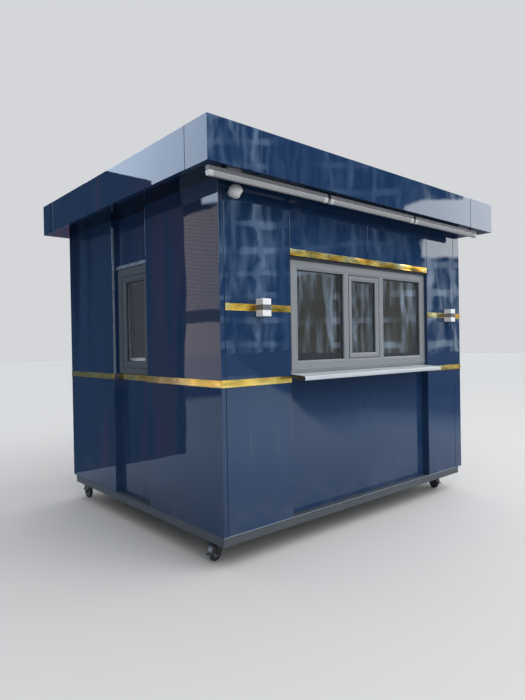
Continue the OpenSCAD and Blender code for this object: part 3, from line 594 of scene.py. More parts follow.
@dataclass(frozen=True)
class Finish:
    """A surface finish. Each kind adds its own nodes to a Principled surface."""

    name: str
    colour: Colour
    roughness: float = 0.5
    metallic: float = 0.0
    coat: float = 0.0
    coat_roughness: float = 0.03
    coat_ior: float = 1.5
    specular: float = 0.5
    ior: float = 1.5

    def build(self) -> bpy.types.Material:
        """Makes the material on its first call.

        Returns:
            The material.
        """
        if self.name in bpy.data.materials:
            return bpy.data.materials[self.name]
        material = bpy.data.materials.new(self.name)
        material.diffuse_color = (*self.colour, 1.0)
        tree = Tree.of(material)
        surface = tree.add("ShaderNodeBsdfPrincipled", {
            "Base Color": (*self.colour, 1.0), "Roughness": self.roughness, "Metallic": self.metallic,
            "Coat Weight": self.coat, "Coat Roughness": self.coat_roughness, "Coat IOR": self.coat_ior,
            "Specular IOR Level": self.specular, "IOR": self.ior})
        tree.add("ShaderNodeOutputMaterial", {"Surface": surface.outputs[0]})
        self.detail(tree, surface)
        return material

    def detail(self, tree: Tree, surface: Node) -> None:
        """Adds the finish's own nodes. The plain finish has a slight grain."""
        self.grain(tree, surface, scale=700.0, tone=0.12, depth=0.2 * MM)

    def shade(self, factor: float) -> Colour:
        """Returns the finish's colour, lighter or darker by a factor."""
        return tuple(min(1.0, c * factor) for c in self.colour)

    def grain(self, tree: Tree, surface: Node, scale: float, tone: float, depth: float) -> Socket:
        """Breaks up the colour and the surface with fine grain.

        Args:
            tree: The material's tree.
            surface: Its Principled node.
            scale: Grains in a metre.
            tone: How far the colour goes lighter and darker.
            depth: Bump distance in metres.

        Returns:
            The grained colour.
        """
        grain = tree.effect(FINE_GRAIN, Scale=scale)
        colour = tree.mix(grain.outputs["Tone"], self.shade(1 - tone), self.shade(1 + tone))
        tree.feed(surface.inputs["Base Color"], colour)
        tree.feed(surface.inputs["Normal"], tree.bump(grain.outputs["Height"], depth))
        return colour

    def dusty(self, tree: Tree, surface: Node, colour: Socket, top: float, amount: float,
              dust: Colour = (0.30, 0.28, 0.25), roughening: float = 0.5) -> Socket:
        """Lays ground dust over a colour and roughens it there.

        Args:
            tree: The material's tree.
            surface: Its Principled node.
            colour: The colour socket under the dust.
            top: Height at which the dust has gone.
            amount: Thickness of the dust, from 0 to 1.
            dust: Its colour.
            roughening: What full dust adds to the roughness.

        Returns:
            The dust's mask.
        """
        mask = tree.effect(GROUND_DUST, Top=top, Amount=amount).outputs["Mask"]
        tree.feed(surface.inputs["Base Color"], tree.mix(mask, colour, dust))
        tree.feed(surface.inputs["Roughness"], tree.math("MULTIPLY_ADD", mask, roughening, self.roughness))
        return mask


@dataclass(frozen=True)
class GlossCassette(Finish):
    """High-gloss coated sheet: a mirror-like clear coat over colour, with the sheet's broad waves."""

    wave_size: float = 0.55
    wave_depth: float = 3.5 * MM
    peel_scale: float = 420.0
    peel_depth: float = 0.006 * MM
    rain: float = 0.10
    rain_colour: Colour = (0.22, 0.25, 0.30)
    dust: float = 0.28
    dust_top: float = 0.62
    dust_colour: Colour = (0.20, 0.21, 0.22)
    dulling: float = 0.8
    drift: Span = (0.9, 1.12)

    def detail(self, tree: Tree, surface: Node) -> None:
        """Adds a slow drift of colour, rain marks, dust at the foot, waves and the coat's fine peel.

        Args:
            tree: The material's tree.
            surface: Its Principled node.
        """
        darker, lighter = (self.shade(factor) for factor in self.drift)
        colour = tree.mix(tree.noise(tree.place, scale=0.9, detail=3.0), darker, lighter)
        marks = tree.effect(RAIN_MARKS, Amount=self.rain).outputs["Mask"]
        colour = tree.mix(marks, colour, self.rain_colour)
        mask = self.dusty(tree, surface, colour, self.dust_top, self.dust, self.dust_colour)
        waves = tree.effect(SHEET_WAVES, Size=self.wave_size)
        wavy = tree.bump(waves.outputs["Height"], self.wave_depth)
        peel = tree.noise(tree.place, self.peel_scale, detail=1.0)
        normal = tree.bump(peel, self.peel_depth, Normal=wavy)
        tree.feed(surface.inputs["Normal"], normal)
        tree.feed(surface.inputs["Coat Normal"], normal)
        tree.feed(surface.inputs["Coat Weight"], tree.math("MULTIPLY_ADD", mask, -self.dulling, self.coat))


@dataclass(frozen=True)
class MirrorStrip(Finish):
    """Gold mirror film with slanted creases that bend what it mirrors; its tone is streaked dark and pale
    along them, a painted reflection, most of it high on the walls.
    """

    painted_dark_streak: Colour = (0.45, 0.28, 0.045)
    deep: Colour = (1.0, 0.48, 0.04)
    pale: Colour = (1.0, 0.88, 0.46)
    calm_height: float = 1.20
    lively_height: float = 2.05
    calm_share: float = 0.30
    slant: Point = (0.55, 0.55, 0.0)
    streaks: Point = (3.4, 3.4, 10.0)
    crease_depth: float = 16 * MM
    painted_streak_places: tuple[float, ...] = (0.34, 0.45, 0.53, 0.68)
    haze: Span = (-0.05, 0.08)

    def detail(self, tree: Tree, surface: Node) -> None:
        """Adds creases: a streaked noise bends what the film mirrors and picks its tone, a painted
        reflection; a patchy noise sets its roughness.

        Args:
            tree: The material's tree.
            surface: Its Principled node.
        """
        place = tree.place
        slanted = tree.stretched(place, self.streaks, self.slant)
        creases = tree.noise(slanted, scale=1.0, detail=1.2, roughness=0.45)
        # The tones along the creases are a painted reflection: dark, deep, gold and pale streaks, livelier
        # high up.
        tones = (self.painted_dark_streak, self.deep, self.colour, self.pale)
        film = tree.stops(creases, list(zip(self.painted_streak_places, tones)))
        lively = tree.ramp(tree.parts(place)[2], self.calm_height, self.lively_height, self.calm_share, 1.0)
        tree.feed(surface.inputs["Base Color"], tree.mix(lively, self.colour, film))
        tree.feed(surface.inputs["Normal"], tree.bump(creases, self.crease_depth, lively))
        patches = tree.noise(place, scale=9.0, detail=4.0, roughness=0.6)
        smooth, hazy = (self.roughness + more for more in self.haze)
        rough = tree.ramp(patches, low=0.35, high=0.75, to_low=smooth, to_high=hazy)
        tree.feed(surface.inputs["Roughness"], rough)


@dataclass(frozen=True)
class PowderCoat(Finish):
    """Powder-coated or foiled profile, with a fine even grain and some dust."""

    dust_top: float = 0.3
    dust: float = 0.3

    def detail(self, tree: Tree, surface: Node) -> None:
        """Adds grain, and dust where the street reaches."""
        colour = self.grain(tree, surface, scale=1100.0, tone=0.09, depth=0.06 * MM)
        self.dusty(tree, surface, colour, self.dust_top, self.dust)


@dataclass(frozen=True)
class DrawnMetal(Finish):
    """Rolled or drawn metal with lines along the front."""

    line_depth: float = 0.08 * MM
    line_share: float = 0.5
    drift: Span = (0.88, 1.1)
    haze: Span = (-0.06, 0.1)

    def detail(self, tree: Tree, surface: Node) -> None:
        """Adds drawing lines to the surface and to its tone.

        Args:
            tree: The material's tree.
            surface: Its Principled node.
        """
        lines = tree.effect(DRAWN_LINES, Depth=1.0).outputs["Height"]
        tree.feed(surface.inputs["Normal"], tree.bump(lines, self.line_depth))
        drift = tree.noise(tree.place, scale=3.0, detail=3.0)
        tone = tree.math("ADD", tree.math("MULTIPLY", lines, self.line_share),
                         tree.math("MULTIPLY", drift, 1 - self.line_share))
        darker, lighter = (self.shade(factor) for factor in self.drift)
        tree.feed(surface.inputs["Base Color"], tree.mix(tone, darker, lighter))
        patches = tree.noise(tree.place, scale=14.0, detail=4.0)
        smooth, hazy = (self.roughness + more for more in self.haze)
        rough = tree.ramp(patches, low=0.3, high=0.75, to_low=smooth, to_high=hazy)
        tree.feed(surface.inputs["Roughness"], rough)


@dataclass(frozen=True)
class InnerLining(Finish):
    """Pale lining in the room. Past a margin round its floor the same boards have a dark membrane."""

    membrane: Colour = (0.012, 0.013, 0.016)
    margin: float = 20 * MM

    def detail(self, tree: Tree, surface: Node) -> None:
        """Adds grain, and the membrane by a mask of the distance from the room's middle.

        Args:
            tree: The material's tree.
            surface: Its Principled node.
        """
        low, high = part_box("floor_deck")
        colour = self.grain(tree, surface, scale=500.0, tone=0.05, depth=0.05 * MM)
        x, y, _ = tree.parts(tree.place)
        reach = []
        for place, lowest, highest in ((x, low.x, high.x), (y, low.y, high.y)):
            centred = tree.math("ABSOLUTE", tree.math("SUBTRACT", place, (lowest + highest) / 2))
            reach.append(tree.math("GREATER_THAN", centred, (highest - lowest) / 2 + self.margin))
        outside = tree.math("MAXIMUM", reach[0], reach[1])
        tree.feed(surface.inputs["Base Color"], tree.mix(outside, colour, self.membrane))


@dataclass(frozen=True)
class ClearGlass(Finish):
    """Window glass with a faint film of dirt."""

    transmission: float = 1.0
    film: float = 0.006

    def detail(self, tree: Tree, surface: Node) -> None:
        """Adds transmission and a film that dulls the glass in patches.

        Args:
            tree: The material's tree.
            surface: Its Principled node.
        """
        surface.inputs["Transmission Weight"].default_value = self.transmission
        patches = tree.noise(tree.place, scale=6.0, detail=5.0, roughness=0.6)
        tree.feed(surface.inputs["Roughness"], tree.ramp(patches, low=0.45, high=0.85, to_high=self.film))


@dataclass(frozen=True)
class FrostedLens(Finish):
    """Opal or frosted plastic that light soaks into."""

    depth: float = 10 * MM
    soak: float = 0.4

    def detail(self, tree: Tree, surface: Node) -> None:
        """Adds soft scattering and a fine matt grain.

        Args:
            tree: The material's tree.
            surface: Its Principled node.
        """
        surface.inputs["Subsurface Weight"].default_value = self.soak
        surface.inputs["Subsurface Radius"].default_value = (1.0, 1.0, 1.0)
        surface.inputs["Subsurface Scale"].default_value = self.depth
        self.grain(tree, surface, scale=1500.0, tone=0.04, depth=0.03 * MM)


class Palette:
    """The kiosk's finishes: name, colour and roughness, then what differs from the kind's own values."""

    navy = GlossCassette("navy_cassette", (0.0125, 0.0380, 0.1020), 0.45, coat=1.0, coat_roughness=0.008,
                         specular=0.0)
    soffit = GlossCassette("soffit_gloss_sheet", (0.002, 0.006, 0.018), 0.4, coat=1.0, coat_roughness=0.03,
                           coat_ior=1.33, specular=0.0, wave_depth=2 * MM, dust=0.0)
    # The gold film's streaked tone is a painted reflection.
    gold = MirrorStrip("gold_mirror_strip", (1.0, 0.66, 0.15), 0.20, metallic=1.0)
    frame = PowderCoat("frame_grey_foil", (0.225, 0.242, 0.252), 0.42)
    # The front frame's grey foil made darker for the side window: a painted shade of the left wall.
    side_frame_painted_shade = PowderCoat("side_frame_painted_shade_grey_foil", (0.088, 0.102, 0.120), 0.45, specular=0.25)
    base = PowderCoat("base_grey_paint", (0.060, 0.070, 0.079), 0.38, dust_top=0.32, dust=0.12)
    shelf = DrawnMetal("shelf_silver_sheet", (0.62, 0.66, 0.675), 0.36, metallic=0.3)
    # Pale grey for the flashing and the angle, and for the pale strips that are painted highlights.
    flashing_and_highlight = DrawnMetal("flashing_and_highlight_pale_grey", (0.30, 0.36, 0.42), 0.32, metallic=0.4)
    aluminium = DrawnMetal("light_grey_aluminium", (0.175, 0.165, 0.170), 0.42, metallic=0.4)
    band = DrawnMetal("lamp_band_grey", (0.15, 0.152, 0.158), 0.38, metallic=0.3)
    black = PowderCoat("black_powder_coat", (0.018, 0.018, 0.019), 0.45)
    rubber = PowderCoat("black_rubber", (0.012, 0.012, 0.013), 0.7, specular=0.3)
    # Seal strips in the open joints, lighter than the navy: partly real seal, partly a painted highlight of
    # the cassettes' bright folded edges.
    sealant_and_highlight = PowderCoat("joint_sealant_and_highlight", (0.085, 0.125, 0.190), 0.35)
    lining = InnerLining("wall_lining", (0.46, 0.44, 0.41), 0.45)
    floor = PowderCoat("floor_covering", (0.10, 0.095, 0.09), 0.6, dust_top=0.4, dust=0.3)
    roof = PowderCoat("roof_grey_sheet", (0.21, 0.22, 0.23), 0.5, dust_top=3.4, dust=0.5)
    glass = ClearGlass("window_glass_clear", (0.90, 0.94, 0.94), 0.0, ior=1.70)
    spacer = DrawnMetal("spacer_aluminium", (0.45, 0.46, 0.47), 0.4, metallic=0.8)
    diffuser = FrostedLens("light_diffuser_frosted", (0.36, 0.365, 0.37), 0.35)
    opal = FrostedLens("lamp_opal", (0.84, 0.86, 0.87), 0.3)
    cap = FrostedLens("light_cap_opal", (0.62, 0.63, 0.64), 0.3)
    white = Finish("camera_white_shell", (0.90, 0.90, 0.89), 0.40, coat=0.1, coat_roughness=0.15)
    lens = Finish("camera_lens_glass", (0.006, 0.007, 0.009), 0.05, coat=1.0)
    steel = DrawnMetal("castor_dark_steel", (0.085, 0.087, 0.092), 0.38, metallic=0.6)
    zinc = DrawnMetal("zinc_plated_steel", (0.42, 0.43, 0.44), 0.3, metallic=0.9)
    tyre = PowderCoat("castor_tyre", (0.014, 0.014, 0.015), 0.6, dust_top=0.16, dust=0.3)
    chrome = DrawnMetal("handle_satin_steel", (0.55, 0.55, 0.55), 0.25, metallic=0.95)


# Pieces


def clean_mesh(mesh: bpy.types.Mesh) -> None:
    """Merges a mesh's doubles and turns its faces outwards.

    Args:
        mesh: The mesh, which is changed in place.
    """
    work = bmesh.new()
    work.from_mesh(mesh)
    bmesh.ops.remove_doubles(work, verts=work.verts, dist=MERGE_DISTANCE)
    bmesh.ops.dissolve_degenerate(work, edges=work.edges, dist=SLIVER_LENGTH)
    bmesh.ops.recalc_face_normals(work, faces=work.faces)
    work.to_mesh(mesh)
    work.free()


def make_piece(name: str, shape: Shape, finish: Finish, body: str = KIOSK,
               bevel: float = 0.0) -> bpy.types.Object:
    """Makes an object from a shape, closes its seams, turns its faces outwards and lets it ride.

    Args:
        name: The piece's name.
        shape: Its points and faces.
        finish: Its finish.
        body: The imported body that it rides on.
        bevel: Width of the bevel on its edges, or 0.

    Returns:
        The object.
    """
    mesh = bpy.data.meshes.new(name)
    mesh.from_pydata(shape.points.tolist(), [], [f for block in shape.faces for f in block.tolist()])
    clean_mesh(mesh)
    mesh.polygons.foreach_set("use_smooth", np.ones(len(mesh.polygons), bool))
    mesh.set_sharp_from_angle(angle=math.radians(SMOOTH_ANGLE))
    mesh.materials.append(finish.build())
    piece = bpy.data.objects.new(name, mesh)
    bpy.context.scene.collection.objects.link(piece)
    if bevel > 0:
        edge = piece.modifiers.new("edges", "BEVEL")
        edge.width, edge.segments, edge.limit_method = bevel, BEVEL_STEPS, "ANGLE"
        edge.use_clamp_overlap = True
    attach(piece, body)
    LOG.info("%s: %d faces on %s", name, len(mesh.polygons), body)
    return piece


def dress(finish: Finish, *nodes: str) -> None:
    """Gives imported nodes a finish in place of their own.

    Args:
        finish: The finish.
        nodes: The nodes' names.
    """
    for name in nodes:
        slots = frame["nodes"][name].data.materials
        slots.clear()
        slots.append(finish.build())


# Stage


@dataclass(frozen=True)
class Photo:
    """The camera that took the photograph, solved from the kiosk's straight edges. Angles are radians."""

    place: Point = (-3.611, -3.978, 1.481)
    yaw: float = 0.7150
    pitch: float = -0.0101
    roll: float = -0.0171
    lens_mm: float = 27.73
    sensor_mm: float = 36.0

    def build(self) -> None:
        """Makes the camera and hands it to the scene."""
        ahead = Vector((math.sin(self.yaw) * math.cos(self.pitch), math.cos(self.yaw) * math.cos(self.pitch),
                        math.sin(self.pitch)))
        level = Vector((math.cos(self.yaw), -math.sin(self.yaw), 0.0))
        above = level.cross(ahead)
        right = level * math.cos(self.roll) + above * math.sin(self.roll)
        up = above * math.cos(self.roll) - level * math.sin(self.roll)
        data = bpy.data.cameras.new("photo_camera")
        data.lens, data.sensor_width = self.lens_mm, self.sensor_mm
        camera = bpy.data.objects.new("photo_camera", data)
        turn = Matrix((right, up, -ahead)).transposed().to_4x4()
        camera.matrix_world = Matrix.Translation(Vector(self.place)) @ turn
        bpy.context.scene.collection.objects.link(camera)
        bpy.context.scene.camera = camera


class Seen(Enum):
    """Kinds of ray for which a studio surface has a look of its own."""

    CAMERA = "Is Camera Ray"
    GLOSS = "Is Glossy Ray"
    THROUGH_GLASS = "Is Transmission Ray"


@dataclass(frozen=True)
class Slats:
    """Upright and level slats before darker cloth: two sets of evenly spaced bands, bent by a slow noise.

    Angles are in degrees. A pitch is half the way from one slat to the next. An edge is where a slat has
    gone and where it is whole, measured from its middle. A noise has one scale around and one upwards.
    """

    upright_pitch: float = 1.25
    upright_edge: Span = (0.34, 0.12)
    upright_bend: float = 1.3
    level_pitch: float = 1.30
    level_edge: Span = (0.42, 0.20)
    level_bend: float = 0.5
    level_share: float = 0.8
    bend_noise: Span = (0.35, 0.45)
    strength_noise: Span = (0.22, 0.14)
    strength: Step = (0.40, 0.62, 0.15, 2.7)
    cloth_noise: Span = (1.5, 0.16)
    cloth: Step = (0.44, 0.62, 0.06, 1.7)
    foot: Step = (0.6, 3.4, 0.85, 1.0)

    def build(self, t: Tree, around: Socket, height: Socket) -> Socket:
        """Lays the slats over the cloth.

        Args:
            t: The world's tree.
            around: The angle round the studio.
            height: The angle above the floor's edge.

        Returns:
            The pattern's brightness.
        """
        bend = t.plane_noise(around, height, self.bend_noise)
        bent_around = t.math("ADD", around, t.math("MULTIPLY", bend, self.upright_bend))
        bent_height = t.math("ADD", height, t.math("MULTIPLY", bend, self.level_bend))
        upright = t.ramp(t.math("PINGPONG", bent_around, self.upright_pitch), *self.upright_edge)
        level = t.ramp(t.math("PINGPONG", bent_height, self.level_pitch), *self.level_edge)
        bands = t.math("MAXIMUM", upright, t.math("MULTIPLY", level, self.level_share))
        strength = t.ramp(t.plane_noise(around, height, self.strength_noise), *self.strength)
        cloth = t.ramp(t.plane_noise(around, height, self.cloth_noise, detail=3.0), *self.cloth)
        pattern = t.math("ADD", cloth, t.math("MULTIPLY", bands, strength))
        return t.math("MULTIPLY", pattern, t.ramp(height, *self.foot))


@dataclass(frozen=True)
class LevelRibs:
    """Level ribs: a wave of height broken by fine noise, with one dark rail and a plain foot under it.

    Angles are in degrees. Above the crest, which falls towards the rear, the pattern is dark.
    """

    pitch: float = 0.20
    wave: Step = (0.02, 0.12, 0.80, 1.08)
    grain_noise: Span = (2.0, 9.0)
    grain: Step = (0.3, 0.7, 0.84, 1.16)
    foot_top: float = 2.2
    foot_level: float = 1.18
    rail_height: float = 2.9
    rail: Step = (0.55, 0.80, 0.22, 1.0)
    crest_slope: float = -0.35
    crest: Step = (1.7, 2.0, 1.0, 0.06)

    def build(self, t: Tree, around: Socket, height: Socket) -> Socket:
        """Lays the ribs, the foot, the rail and the crest.

        Args:
            t: The world's tree.
            around: The angle round the studio.
            height: The angle above the floor's edge.

        Returns:
            The pattern's brightness.
        """
        wave = t.ramp(t.math("PINGPONG", height, self.pitch), *self.wave)
        fine = t.plane_noise(around, height, self.grain_noise, detail=3.0, roughness=0.6)
        foot = t.math("LESS_THAN", height, self.foot_top)
        broken = t.math("MULTIPLY", wave, t.ramp(fine, *self.grain))
        ribs = t.blend(foot, broken, self.foot_level)
        rail = t.ramp(t.math("ABSOLUTE", t.math("SUBTRACT", height, self.rail_height)), *self.rail)
        over = t.math("SUBTRACT", height, t.math("MULTIPLY", around, self.crest_slope))
        return t.math("MULTIPLY", t.math("MULTIPLY", ribs, rail), t.ramp(over, *self.crest))


@dataclass(frozen=True)
class Screen:
    """A stretch of the ring of screens round the studio, which only gloss and glass show.

    Angles are in degrees: the start runs clockwise from the rear, and the top is above the floor's edge.
    """

    start: float
    top: float
    tone: Colour


@dataclass(frozen=True)
class Studio:
    """Pale floor, soft light from high on the front right, screens for gloss and glass, a drape for gloss.

    The floor's tones in gloss go by the distance from the kiosk in metres: before it, to its right and behind
    it, and on its left. They are painted shade and painted reflection: darker close to the kiosk for its
    shade, and with dark and bright stretches further off for what stands around it. A direction points to
    where its light comes from. Angles are in degrees.
    """

    floor_half: float = 60.0
    floor_colour: Colour = (0.60, 0.60, 0.595)
    floor_bounce: Colour = (0.31, 0.31, 0.31)
    floor_roughness: float = 0.8
    floor_specular: float = 0.15
    # Painted shade close to the kiosk, painted reflection further off.
    floor_in_gloss: Levels = (
        (0.0, (0.40, 0.44, 0.50)), (1.0, (0.52, 0.55, 0.60)), (2.5, (0.70, 0.76, 0.86)),
        (5.0, (0.76, 0.86, 1.0)), (8.0, (0.80, 0.92, 1.0)), (16.5, (0.82, 0.94, 1.0)),
        (19.0, (0.22, 0.28, 0.40)))
    right_rear_in_gloss: Levels = (
        (0.0, (0.40, 0.44, 0.50)), (1.0, (0.52, 0.56, 0.63)), (2.4, (0.60, 0.66, 0.78)),
        (3.6, (0.42, 0.50, 0.64)), (5.0, (0.15, 0.18, 0.24)), (9.0, (0.07, 0.08, 0.11)),
        (19.0, (0.10, 0.11, 0.14)))
    left_in_gloss: Levels = (
        (0.0, (0.32, 0.40, 0.54)), (0.6, (0.48, 0.58, 0.76)), (2.2, (0.56, 0.68, 0.88)),
        (6.6, (0.56, 0.68, 0.86)), (8.0, (0.06, 0.10, 0.24)), (11.0, (0.06, 0.10, 0.24)),
        (14.0, (1.0, 0.94, 1.0)))
    right_rear_slope: float = 1.35
    right_rear_blend: Span = (-0.25, 0.25)
    backdrop: Colour = (0.66, 0.67, 0.69)
    light: Colour = (0.99, 1.0, 1.02)
    light_from: Point = (0.36, -0.62, 0.70)
    light_step: Step = (-0.3, 0.9, 0.08, 1.42)
    fill_from: Point = (0.55, 0.80, 0.25)
    fill_step: Step = (0.1, 1.0, 0.0, 0.55)
    panel_left: Colour = (0.82, 1.0, 1.27)
    panel_right: Colour = (0.95, 1.0, 1.05)
    panel_turn: Span = (-20.0, 60.0)
    panel_step: Step = (22.0, 36.0, 3.9, 0.9)
    screens: tuple[Screen, ...] = (
        Screen(-180, 20.0, (0.35, 0.45, 0.60)), Screen(-150, 9.0, (0.40, 0.50, 0.65)),
        Screen(-110, 13.0, (0.30, 0.38, 0.50)), Screen(-60, 14.0, (0.70, 0.70, 0.75)),
        Screen(-38.0, 14.9, (1.12, 0.97, 1.0)), Screen(-35.5, 16.9, (1.12, 0.97, 1.0)),
        Screen(-32.7, 14.0, (0.06, 0.08, 0.12)), Screen(5, 16.0, (0.22, 0.28, 0.40)),
        Screen(40, 10.0, (0.36, 0.45, 0.60)), Screen(100, 8.3, (0.59, 0.70, 0.80)),
        Screen(121.7, 11.6, (0.14, 0.20, 0.30)), Screen(123.4, 34.0, (0.14, 0.20, 0.30)),
        Screen(137.0, 30.0, (0.48, 0.66, 0.90)), Screen(149.0, -2.0, (0.40, 0.50, 0.65)),
        Screen(161.0, 20.0, (0.35, 0.45, 0.60)))
    screen_edge: Span = (-0.2, 0.3)
    tone_scale: float = 2.0
    lid_around: Span = (118.0, 118.5)
    lid_height: Span = (13.7, 14.1)
    slats: Slats = Slats()
    ribs: LevelRibs = LevelRibs()
    glass_left: Colour = (0.15, 0.115, 0.10)
    glass_right: Colour = (0.80, 0.76, 0.70)
    glass_gain: Colour = (2.1, 1.8, 1.55)
    glass_calm: float = 0.35
    lamp_place: Point = (2.0, -7.5, 9.5)
    lamp_aim: Point = (0.0, 0.0, 1.2)
    lamp_size: float = 7.0
    lamp_watts: float = 330.0
    drape_sides: Span = (-3.495, 3.6)
    drape_y: float = 2.3
    drape_top: float = 3.66
    drape_folds: Point = (2.6, 1.0, 0.10)
    drape_tones: Levels = (
        (0.33, (0.020, 0.025, 0.040)), (0.37, (0.070, 0.120, 0.230)), (0.49, (0.090, 0.140, 0.260)),
        (0.51, (0.160, 0.130, 0.220)), (0.60, (0.175, 0.140, 0.220)), (0.63, (0.065, 0.105, 0.210)))

    def build(self) -> None:
        """Makes the floor, the world, the lamp and the drape."""
        for part in (self.floor, self.world, self.lamp, self.drape):
            part()

    @staticmethod
    def sheet(name: str, corners: Sequence[Point], material_name: str) -> tuple[bpy.types.Object, Tree]:
        """Makes a four-cornered sheet of the studio.

        Args:
            name: The sheet's name.
            corners: Its corners in turn.
            material_name: The name of its material.

        Returns:
            The sheet and its material's empty tree.
        """
        mesh = bpy.data.meshes.new(name)
        mesh.from_pydata(corners, [], [(0, 1, 2, 3)])
        material = bpy.data.materials.new(material_name)
        mesh.materials.append(material)
        sheet = bpy.data.objects.new(name, mesh)
        bpy.context.scene.collection.objects.link(sheet)
        return sheet, Tree.of(material)

    @staticmethod
    def seen(t: Tree, *kinds: Seen) -> Socket:
        """Marks rays of the kinds given.

        Args:
            t: The tree.
            kinds: The kinds of ray.

        Returns:
            1 for such a ray and 0 for any other.
        """
        path = t.add("ShaderNodeLightPath")
        mask = path.outputs[kinds[0].value]
        for kind in kinds[1:]:
            mask = t.math("MAXIMUM", mask, path.outputs[kind.value])
        return mask

    def floor(self) -> None:
        """Makes the floor as one large square. Gloss shows its tone by the distance from the kiosk, a painted
        shade and reflection.
        """
        h = self.floor_half
        corners = [(-h, -h, 0), (h, -h, 0), (h, h, 0), (-h, h, 0)]
        floor, t = self.sheet("studio_floor", corners, "studio_floor_pale")
        x, y, _ = t.parts(t.place)
        low, high = CAD_BOUNDS
        beside = t.math("SUBTRACT", t.math("ABSOLUTE", x), high[0])
        before = t.math("SUBTRACT", t.math("ABSOLUTE", y), high[1])
        away = t.math("MAXIMUM", beside, before)
        # Tones seen in gloss: painted shade close to the kiosk and painted reflection further off.
        tones = []
        for levels in (self.floor_in_gloss, self.right_rear_in_gloss, self.left_in_gloss):
            furthest = levels[-1][0]
            shares = [(reach / furthest, tone) for reach, tone in levels]
            tones.append(t.stops(t.math("DIVIDE", away, furthest), shares))
        edge = t.math("ADD", y, t.math("MULTIPLY", x, self.right_rear_slope))
        mirrored = t.mix(t.ramp(edge, *self.right_rear_blend), tones[0], tones[1])
        mirrored = t.mix(t.math("LESS_THAN", x, low[0]), mirrored, tones[2])
        colour = t.mix(self.seen(t, Seen.CAMERA), self.floor_bounce, self.floor_colour)
        colour = t.mix(self.seen(t, Seen.GLOSS, Seen.THROUGH_GLASS), colour, mirrored)
        surface = t.add("ShaderNodeBsdfPrincipled", {
            "Base Color": colour, "Roughness": self.floor_roughness,
            "Specular IOR Level": self.floor_specular})
        t.add("ShaderNodeOutputMaterial", {"Surface": surface.outputs[0]})

    def world(self) -> None:
        """Makes the world: a pale backdrop for the camera, soft light for surfaces, screens for the rest."""
        world = bpy.data.worlds.new("studio_world")
        bpy.context.scene.world = world
        world.use_nodes = True
        t = Tree(world.node_tree)
        towards = t.add("ShaderNodeTexCoord").outputs["Generated"]
        key = t.ramp(self.along(t, towards, self.light_from), *self.light_step)
        fill = t.ramp(self.along(t, towards, self.fill_from), *self.fill_step)
        level = t.math("ADD", key, fill)
        light = t.add("ShaderNodeBackground", {"Color": (*self.light, 1.0), "Strength": level})
        backdrop = t.add("ShaderNodeBackground", {"Color": (*self.backdrop, 1.0), "Strength": 1.0})
        ring = self.ring(t, towards)
        on_right = t.math("GREATER_THAN", t.parts(towards)[0], 0.0)
        livelier = t.vector("MULTIPLY", {0: ring, 1: self.glass_gain})
        behind_glass = t.mix(on_right, self.glass_left, t.mix(self.glass_calm, livelier, self.glass_right))
        gloss = t.mix(self.seen(t, Seen.THROUGH_GLASS), ring, behind_glass)
        mirrored = t.add("ShaderNodeBackground", {"Color": gloss, "Strength": 1.0})
        first = t.add("ShaderNodeMixShader", {0: self.seen(t, Seen.GLOSS, Seen.THROUGH_GLASS),
                                              1: light.outputs[0], 2: mirrored.outputs[0]})
        last = t.add("ShaderNodeMixShader", {0: self.seen(t, Seen.CAMERA),
                                             1: first.outputs[0], 2: backdrop.outputs[0]})
        t.add("ShaderNodeOutputWorld", {"Surface": last.outputs[0]})

    @staticmethod
    def along(t: Tree, towards: Socket, direction: Point) -> Socket:
        """Returns how far a direction lies along another."""
        return t.vector("DOT_PRODUCT", {0: towards, 1: direction}, "Value")

    def ring(self, t: Tree, towards: Socket) -> Socket:
        """Colour that gloss shows: light panels above the screens' tops, and the screens below them.

        Args:
            t: The world's tree.
            towards: The direction that is looked in.

        Returns:
            The colour socket.
        """
        x, y, z = t.parts(towards)
        around = t.math("MULTIPLY", t.math("ARCTAN2", x, y), HALF_TURN / math.pi)
        height = t.math("MULTIPLY", t.math("ARCSINE", z), HALF_TURN / math.pi)
        share = t.math("ADD", t.math("DIVIDE", around, 2 * HALF_TURN), 0.5)
        starts = [screen.start / (2 * HALF_TURN) + 0.5 for screen in self.screens]
        lift = [((screen.top + HALF_TURN / 2) / HALF_TURN,) * 3 for screen in self.screens]
        lifted = t.stops(share, list(zip(starts, lift)), "CONSTANT")
        top = t.math("MULTIPLY_ADD", lifted, HALF_TURN, -HALF_TURN / 2)
        tones = [tuple(c / self.tone_scale for c in screen.tone) for screen in self.screens]
        tone = t.stops(share, list(zip(starts, tones)), "CONSTANT")
        above = t.ramp(t.math("SUBTRACT", height, top), *self.screen_edge)
        lid = t.math("MULTIPLY", t.ramp(around, *self.lid_around), t.ramp(height, *self.lid_height))
        above = t.math("MULTIPLY", above, t.math("SUBTRACT", 1.0, lid))
        panel = t.mix(t.ramp(around, *self.panel_turn), self.panel_left, self.panel_right)
        lit = t.vector("SCALE", {0: panel, 3: t.ramp(height, *self.panel_step)})
        on_right = t.math("GREATER_THAN", around, 0.0)
        pattern = t.blend(on_right, self.ribs.build(t, around, height), self.slats.build(t, around, height))
        dark = t.vector("SCALE", {0: tone, 3: t.math("MULTIPLY", pattern, self.tone_scale)})
        return t.mix(above, dark, lit)

    def lamp(self) -> None:
        """Makes one large soft lamp high on the front right."""
        data = bpy.data.lights.new("soft_lamp", "AREA")
        data.shape, data.size, data.energy = "DISK", self.lamp_size, self.lamp_watts
        lamp = bpy.data.objects.new("soft_lamp", data)
        lamp.location = self.lamp_place
        lamp.rotation_mode = "QUATERNION"
        lamp.rotation_quaternion = (Vector(self.lamp_aim) - lamp.location).to_track_quat("-Z", "Y")
        lamp.visible_glossy = False
        bpy.context.scene.collection.objects.link(lamp)

